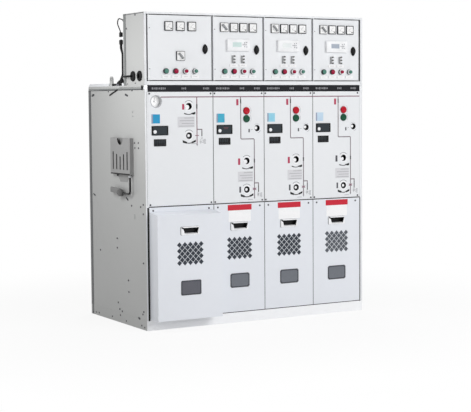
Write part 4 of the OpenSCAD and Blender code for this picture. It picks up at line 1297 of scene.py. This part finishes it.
# Corners of the leads from LEAD_CORNER, and the radius of each bend
LEAD_GLAND = [(-9, -120, 49, 0), (-34, -120, 49, 22), (-16, -14, 47, 40), (6, 28, 46, 21), (6, 28, 180, 40),
              (10, 46.5, 206, 40), (10, 46.5, 226, 0)]
LEAD_ROOF = [(18, 85.2, 28.8, 0), (18, 54, 60, 26), (18, 54, 176, 40), (10, 57.5, 206, 40),
             (10, 57.5, 226, 0)]
LEAD_LOOP = [(10, 60, 293, 0), (10, 60, 300, 18), (10, 98, 343, 20), (10, 84, 371, 20), (10, 30, 361, 20),
             (10, 14, 347, 14), (10, 0, 347, 0)]


def lead_route(corners):
    """Straight runs joined by arcs, in metres."""
    places = [LEAD_CORNER + Vector(corner[:3]) for corner in corners]
    route = [places[0]]
    for before, at, after, (*_, r) in zip(places, places[1:], places[2:], corners[1:]):
        back, on = (before - at).normalized(), (after - at).normalized()
        half = back.angle(on) / 2
        middle = at + (back + on).normalized() * r / math.sin(half)
        start, end = ((at + way * r / math.tan(half) - middle) / r for way in (back, on))
        route += [middle + r * start.slerp(end, k / LEAD_STEPS) for k in range(LEAD_STEPS + 1)]
    return [place * MM for place in route + [places[-1]]]


def lead(name, corners, diameter):
    """A lead as one smooth tube, held at both its ends."""
    route = lead_route(corners)
    curve = bpy.data.curves.new(name, "CURVE")
    curve.dimensions = "3D"
    curve.bevel_depth = diameter / 2
    curve.bevel_resolution = 4
    curve.use_fill_caps = True
    spline = curve.splines.new("POLY")
    spline.points.add(len(route) - 1)
    for point, place in zip(spline.points, route):
        point.co = (*place, 1)
    spline.use_smooth = True
    curve.materials.append(RUBBER)
    made = bpy.data.objects.new(name, curve)
    bpy.context.scene.collection.objects.link(made)
    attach(made, "cabinet")
    length = sum((b - a).length for a, b in zip(route, route[1:]))
    return made


def leads():
    first = lead("lead_from_gland", LEAD_GLAND, LEAD_D * MM)
    lead("lead_from_roof", LEAD_ROOF, LEAD_D * MM)
    lead("lead_loop", LEAD_LOOP, LOOP_D * MM)
    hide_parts("wiring_leads")


GLAND_R, GLAND_T, GLAND_BORE, GLAND_SLEEVE, GLAND_TAIL = 28, 9, 14, 20.8, 12
GLAND_Y, GLAND_Z = (-235.105, -315.94), 49


def glands():
    """Soft rubber glands in the left side: stepped, the rear one closed round its lead."""
    piece = Piece("gland_rubbers", RUBBER)
    r, t, sleeve, tail = GLAND_R, GLAND_T, GLAND_SLEEVE, GLAND_TAIL
    outside = [(sleeve, tail), (sleeve, 0), (r, 0), (r, -0.5 * t), (0.93 * r, -0.8 * t), (0.8 * r, -0.9 * t),
               (0.72 * r, -0.72 * t), (0.6 * r, -t)]
    closed = [(0, tail), *outside, (0, -t)]
    pierced = [(GLAND_BORE, tail), *outside, (GLAND_BORE, -t), (GLAND_BORE, tail)]
    for profile, y in zip((closed, pierced), GLAND_Y):
        piece.add(turned(profile, 36), (LEFT, y, ROOF + GLAND_Z), face="left")
    piece.done("cabinet", "rubber_black", "cable_glands")


PLUG_X, PLUG_Y, PLUG_LOW, PLUG_NECK, PLUG_TOP = 10, 52, 226, 252, 267
BOOT_Y, BOOT_FOOT, BOOT_L, BOOT_LEAN = 105, 9, 28, math.radians(45)
ENTRY_X, ENTRY_Y = 14, 56


def fittings():
    """A two-part plug on a pale bracket behind the box, the roof gland's leaning boot and a stepped entry."""
    piece = Piece("lead_fittings", RUBBER, IVORY, SCREW)
    plug = rounds((12, 24, 4, 0), (14, 28, 5, -5), (14, 28, 5, -22), (11, 20, 4, -26))
    cap = rounds((12, 22, 4, 0), (14, 26, 5, -4), (14, 26, 5, -20), (10, 23, 4, -26))
    for half, z in ((plug, PLUG_LOW), (cap, PLUG_TOP)):
        piece.add(half, LEAD_CORNER + Vector((PLUG_X, PLUG_Y, z)), face="top")
    reach = PLUG_Y + 4
    arm = block(8, PLUG_TOP - PLUG_NECK, reach, 1.2)
    piece.add(arm, LEAD_CORNER + Vector((PLUG_X, reach / 2, PLUG_NECK)), 1, face="top")
    base = LEAD_CORNER + Vector((LEAD_ROOF[0][0], BOOT_Y, 0))
    piece.add(turned([(0, 0), (18, 0), (18, -11), (16, -13), (0, -13)], 6), base, 2, face="top")
    boot = turned([(0, 4), (13, 4), (13, -9), (11.5, -11), (11.5, -14), (9.5, -17), (9.5, -20), (8, -23),
                   (6, -BOOT_L), (0, -BOOT_L)], 24)
    bmesh.ops.rotate(boot, cent=(0, 0, 0), matrix=Matrix.Rotation(BOOT_LEAN, 3, "X"), verts=boot.verts)
    piece.add(boot, base + Vector((0, 0, BOOT_FOOT)), face="top")
    entry = turned([(0, 0), (19, 0), (19, -6), (16, -9), (15, -18), (12.5, -21), (12, -30), (9.5, -33),
                    (9, -42), (0, -42)], 24)
    piece.add(entry, LEAD_CORNER + Vector((ENTRY_X, ENTRY_Y, 0)), face="top")
    piece.done("cabinet", "rubber_black", "wiring_fittings")


LEVER_X, LEVER_Y, LEVER_Z, LEVER_TOP = -724, -218, 732, 832
LEVER_R, LEVER_ARM, LEVER_BEND = 5.5, 129, 20
LEVER_GRIP_L, LEVER_GRIP_H, LEVER_GRIP_T = 118, 30, 12


def bent_rod():
    """The lever's rod: down, round a bend and along to the hub."""
    bend = LEVER_BEND
    path = [(0, LEVER_TOP - LEVER_Z), (0, bend)]
    path += [(bend - y, bend - z) for y, z in arc(bend, 0, 90, 6)[1:]] + [(LEVER_ARM, 0)]
    shape = bmesh.new()
    ring = bmesh.ops.create_circle(shape, segments=16, radius=LEVER_R, cap_ends=False,
                                   matrix=Matrix.Translation((0, 0, path[0][1])))["verts"]
    edges = list({e for v in ring for e in v.link_edges})
    bmesh.ops.contextual_create(shape, geom=edges)
    heading = 0.0
    for (y0, z0), (y1, z1) in zip(path, path[1:]):
        grown = bmesh.ops.extrude_edge_only(shape, edges=edges)["geom"]
        verts = list(filter(is_vert, grown))
        edges = [e for e in grown if is_edge(e) and all(v in verts for v in e.verts)]
        bmesh.ops.translate(shape, vec=(0, y1 - y0, z1 - z0), verts=verts)
        after = math.atan2(y1 - y0, z0 - z1)
        turn = Matrix.Rotation(after - heading, 3, "X")
        bmesh.ops.rotate(shape, cent=(0, y1, z1), matrix=turn, verts=verts)
        heading = after
    bmesh.ops.contextual_create(shape, geom=edges)
    bmesh.ops.recalc_face_normals(shape, faces=shape.faces)
    return shape


def lever():
    """The stored lever: black rod, dark hub, grey flat grip, and the two clips that hold it."""
    piece = Piece("stored_lever", LEVER, HUB_GREY, GRIP_GREY, RUBBER, PALE_GREY)
    at = Vector((LEVER_X, LEVER_Y, LEVER_Z))
    piece.add(bent_rod(), at)
    r = LEVER_R
    ring = turned([(r - 0.5, 0), (r + 3, 0), (r + 4, -2), (r + 4, -7), (r + 3, -9), (r - 0.5, -9),
                   (r - 0.5, 0)], 24)
    piece.add(ring, (LEVER_X, LEVER_Y, LEVER_TOP - 10), 4, face="top")
    hub = at + Vector((0, LEVER_ARM, 0))
    levels = ((58, 30, 9), (68, 40, 6), (68, 40, -6), (58, 30, -9))
    barrel = stack(*((ellipse(w, h, 28), y) for w, h, y in levels))
    piece.add(barrel, hub + Vector((0, -4, 2)), 1, face="left")
    w, h, t = LEVER_GRIP_L, LEVER_GRIP_H, LEVER_GRIP_T / 2
    grip = rounds((w - 4, h - 4, 2, t), (w, h, 4, t - 2), (w, h, 4, 2 - t), (w - 4, h - 4, 2, -t))
    piece.add(grip, hub + Vector((0, w / 2, 12)), 2, 3, face="left")
    reach = LEFT - LEVER_X
    for y in (LEVER_ARM / 3, LEVER_ARM + 0.6 * w):
        piece.add(block(14, reach, 8, 1), at + Vector((reach, y, 0)), 3, face="left")
    piece.done("cabinet", "lever_black", "operating_lever")


# Places on the left side, along it and up; dark marks also have a width, a height and a turn
SIDE_SCREWS = [(-240, 1011), (-287, 1012), (-244, 984), (-289, 984), (-193, 667), (-338, 681), (-307, 667),
               (-337, 630), (1, 472), (1, 419), (232, 386), (-333, 364), (-140, 250), (-144, 186), (-2, 110),
               (-22, 75), (-54, 67), (-29, 42), (-330, 99), (-318, 84), (79, 20), (-107, 19), (-303, 21),
               (-340, 15), (346, 12), (302, 16), (262, 17), (-156, 1630), (-266, 1698)]
SIDE_PLUGS = [(-221, 1179), (-220, 1156)]
SIDE_DARK_MARKS = [(-216, 1294, 16, 7, 0), (94, 1291, 14, 6, 0), (-260, 1333, 14, 5, 0), (-160, 1330, 14, 5, 0),
              (-136, 701, 34, 10, 25), (306, 701, 30, 9, 20), (-272, 56, 26, 12, 10), (306, 1272, 38, 13, -8),
              (-144, 1270, 38, 11, 14)]

SIDE_SCREW_R, SIDE_TAB, ROOF_CORNER, STRAP = 5.4, (-229, 609), (-345, 1308), (22, 1285)


def left_side_marks():
    """Screws, plugs and dark marks of the left side, the roof's rubber corner and a strap under its edge."""
    piece = Piece("left_side_trim", SCREW, RUBBER, DARK, FOLD_GREY)
    small = screw_head(SIDE_SCREW_R)
    for places, material in ((SIDE_SCREWS, 0), (SIDE_PLUGS, 3)):
        for y, z in places:
            piece.add(small, (LEFT, y, z), material, face="left")
    for y, z, w, h, turn in SIDE_DARK_MARKS:
        piece.add(card(w, h, 0.4 * h, 0.8, 0.3), (LEFT, y, z), 2, turn, face="left")
    piece.add(card(15, 27, 2, 0.6, 0.2), (LEFT, *SIDE_TAB), 3, face="left")
    corner = plate([(-9, 12), (-7, -10), (3, -14), (9, 2), (9, 12)], 5, 1)
    piece.add(corner, (LEFT, *ROOF_CORNER), 1, face="left")
    piece.add(card(112, 9, 3, 3, 1), (LEFT, *STRAP), 1, -16, face="left")
    piece.done("cabinet", "rubber_black")


STRIP_T, EDGE_W, BOX_EDGE_W, REAR_EDGE_W, FOLD_W = 0.6, 18, 14, 34, 29


def edge_strips():
    """Strips on the sides: white strips on the front at their edges, grey skirts on the base, and painted
    shade: dark bands down the rear edges and the rear folds of the box's sides, painted shadow lines under
    the box's top, under the box and under the roof's edge, and grey bands over the roof's edge, darker at its
    foot.
    """
    piece = Piece("edge_strips", WHITE, EDGE_SHADE, PAINTED_SHADE, SEAL_SHADOW, GREY)
    # edge and shade are painted shade, seal draws painted shadow lines, and grey is the sides' paint
    edge, shade, seal, grey = 1, 2, 3, 4
    side_z, side_h = (SIDE_LOW + SIDE_HIGH) / 2, SIDE_HIGH - SIDE_LOW
    box_z, box_h = (ROOF + BOX_HIGH) / 2, BOX_HIGH - ROOF
    box_d, side_d = BOX_BACK - FRONT, REAR - FRONT
    box_y, side_y = FRONT + box_d / 2, FRONT + side_d / 2
    base_z = SIDE_LOW / 2 + 0.5
    roof_low, roof_high = SIDE_HIGH + 9, ROOF - 1.5
    # Width, height, place along the side and up, layers, bevel and material
    strips = (
        # Painted shade: a dark band down the rear edge of the side
        (REAR_EDGE_W, side_h, REAR - REAR_EDGE_W / 2, side_z, 1, 0.2, edge),
        # Painted shade on the rear fold of the box's side, with a dark line at its front edge
        (FOLD_W, box_h, BOX_BACK - FOLD_W / 2, box_z, 1, 0.2, shade),
        (2, box_h, BOX_BACK - FOLD_W, box_z, 2, 0, seal),
        # A painted shadow line under the box's top; a grey band over the roof's edge under the box, with a
        # painted shadow line below it
        (box_d - 4, 3, box_y, BOX_HIGH - 5, 2, 0, seal),
        (box_d - 4, 9, box_y, ROOF - 4.5, 2, 0, grey),
        (box_d + 56, 3, box_y + 30, ROOF - 10.6, 2, 0, shade),
        # The roof's edge: grey over its upper part, a painted shadow line under it and a painted shade band
        # at its foot
        (side_d - 40, roof_high - roof_low, side_y + 15, (roof_low + roof_high) / 2, 1, 0, grey),
        (side_d - 30, 4, side_y + 15, SIDE_HIGH - 1, 1, 0, seal),
        (side_d - 40, 7, side_y + 15, SIDE_HIGH + 5, 1, 0, shade),
        # A grey skirt on the base, with the dark rear edge band carried down it as painted shade
        (side_d - 3, SIDE_LOW, side_y + 1, base_z, 1, 0, grey),
        (0.6 * REAR_EDGE_W, SIDE_LOW - 1, REAR - 0.7 * REAR_EDGE_W, base_z, 2, 0, edge),
    )
    for face, x, inward in (("left", LEFT, 1), ("right", RIGHT, -1)):
        for w, h, z in ((EDGE_W, side_h, side_z), (BOX_EDGE_W, box_h, box_z)):
            piece.add(card(w - 0.4, h, 0, STRIP_T, 0.2), (x + inward * w / 2, FRONT, z))
        for w, h, y, z, layers, bevel, material in strips:
            piece.add(card(w, h, 0, layers * STRIP_T, bevel), (x, y, z), material, face=face)
    piece.done("cabinet", "panel_grey")


BEAD_W, BEAD_H, BEAD_T = 3.4, 5, 1.5


def joint_seals():
    """Rubber beads in the joints between the sheets of the front."""
    piece = Piece("joint_seals", RUBBER, SEAL_SHADOW, WHITE)
    seat = FRONT + SHEET
    low, split_low = first_bay.cover_low, first_bay.cover_high
    split_high, high = first_bay.panel_low, first_bay.panel_high
    left, right = first_bay.left, bays[-1].right
    for bay in breaker_bays:
        for z0, z1 in ((low, split_low), (split_high, high)):
            piece.add(block(BEAD_W, BEAD_T, z1 - z0), (bay.left, seat, (z0 + z1) / 2), 1)
    width, middle = right - left - 1, (left + right) / 2
    piece.add(block(width, BEAD_T, BEAD_H), (middle, seat, split_low + BEAD_H / 2 + 0.2))
    piece.add(block(width, BEAD_T, split_high - split_low - BEAD_H - 0.6),
              (middle, seat, (split_low + BEAD_H + split_high) / 2), 2)
    under = right - breaker_bays[0].left - 2
    plinth = box("base_frame")[1].z
    piece.add(block(under, 1.2, low - plinth - 0.6), (right - under / 2, FRONT + 1, (low + plinth) / 2))
    foot = low - 7
    for x, w in ((left - 5.5, 10), (right + 2.5, 4)):
        piece.add(card(w, split_low - foot, 0, 1, 0.3), (x, FRONT, (foot + split_low) / 2))
    piece.add(card(1.1, high - split_high, 0, 1), (left - 8, FRONT, (split_high + high) / 2), 1)
    piece.done("cabinet", "rubber_black")


HOLDER_D, HOLDER_SHEET, HOLDER_TONGUE, SHADE_SHEET_H = 22, 1.5, 42, 142


def holder_shade():
    """Painted shade in the document holder: a dark sheet inside it seen through its slots, a dark oval behind
    its notch, a dark strip at its lower edge as painted shadow, and two dark lumps under it.
    """
    piece = Piece("holder_shade", BLACK, SEAL_SHADOW)
    lo, hi = box("document_holder")
    low, middle, width = lo.z + HOLDER_TONGUE, (lo.y + hi.y) / 2, hi.y - lo.y
    inside = LEFT - HOLDER_D + HOLDER_SHEET + 2.2
    # A dark sheet inside the holder: painted shade behind its slots.
    shade_sheet = card(width - 8, SHADE_SHEET_H, 4, 2, 0.5)
    piece.add(shade_sheet, (inside, middle, low + HOLDER_SHEET + SHADE_SHEET_H / 2), face="left")
    # A dark oval behind the notch: painted shade.
    piece.add(plate(ellipse(26, 66), 2, 0.5), (inside + 3, middle + 36, hi.z - 33), 0, -22, face="left")
    # A dark strip at the holder's lower edge: painted shadow.
    piece.add(card(width - 6, 7, 1, 0.8), (LEFT - HOLDER_D + 0.2, middle, low + 3.6), face="left")
    for y in (lo.y + 14, hi.y - 56):
        piece.add(block(10, 6, 12, 2), (LEFT - 4, y, low - 5.9), 1, face="left")
    piece.done("cabinet", "instrument_dark")


FOOT_GAPS, CLAMP_Y, EYE_BOLT_X, EYE_BOLT_Y, EYE_FOOT = (8, 32, 56), -62, 12, 6, 5


def roof_trim():
    """Rubber feet before the left lifting eye, a pale clamp on the lead, and the eyes' bolts."""
    piece = Piece("roof_trim", RUBBER, SCREW, IVORY)
    lo, hi = box("lifting_eyes")
    for gap in FOOT_GAPS:
        piece.add(block(14, 13, 22, 4), (LEFT + 10, lo.y - gap, ROOF), face="top")
    piece.add(block(20, 15, 52, 5), (LEFT + 16, CLAMP_Y, ROOF), 2, face="top")
    bolt = turned([(0, -4), (3.2, -4), (3.6, -3.4), (3.6, 0)], 6)
    for x in (lo.x + EYE_BOLT_X, hi.x - EYE_BOLT_X):
        for y in (lo.y + EYE_BOLT_Y, hi.y - EYE_BOLT_Y):
            piece.add(bolt, (x, y, ROOF + EYE_FOOT), 1, face="top")
    piece.done("cabinet", "rubber_black")


bpy.context.scene.view_settings.view_transform = "Standard"
for make in (add_camera, add_light, add_floor, leads, finish_nodes, panel_prints, name_marks, sockets, gauge,
             indicator_units, voltage_displays, buttons, grips, vent_filters, windows, cover_plates,
             door_instruments, locks, door_trim, glands, fittings, lever, left_side_marks, edge_strips,
             joint_seals, holder_shade, roof_trim, front_screws, side_screws):
    make()
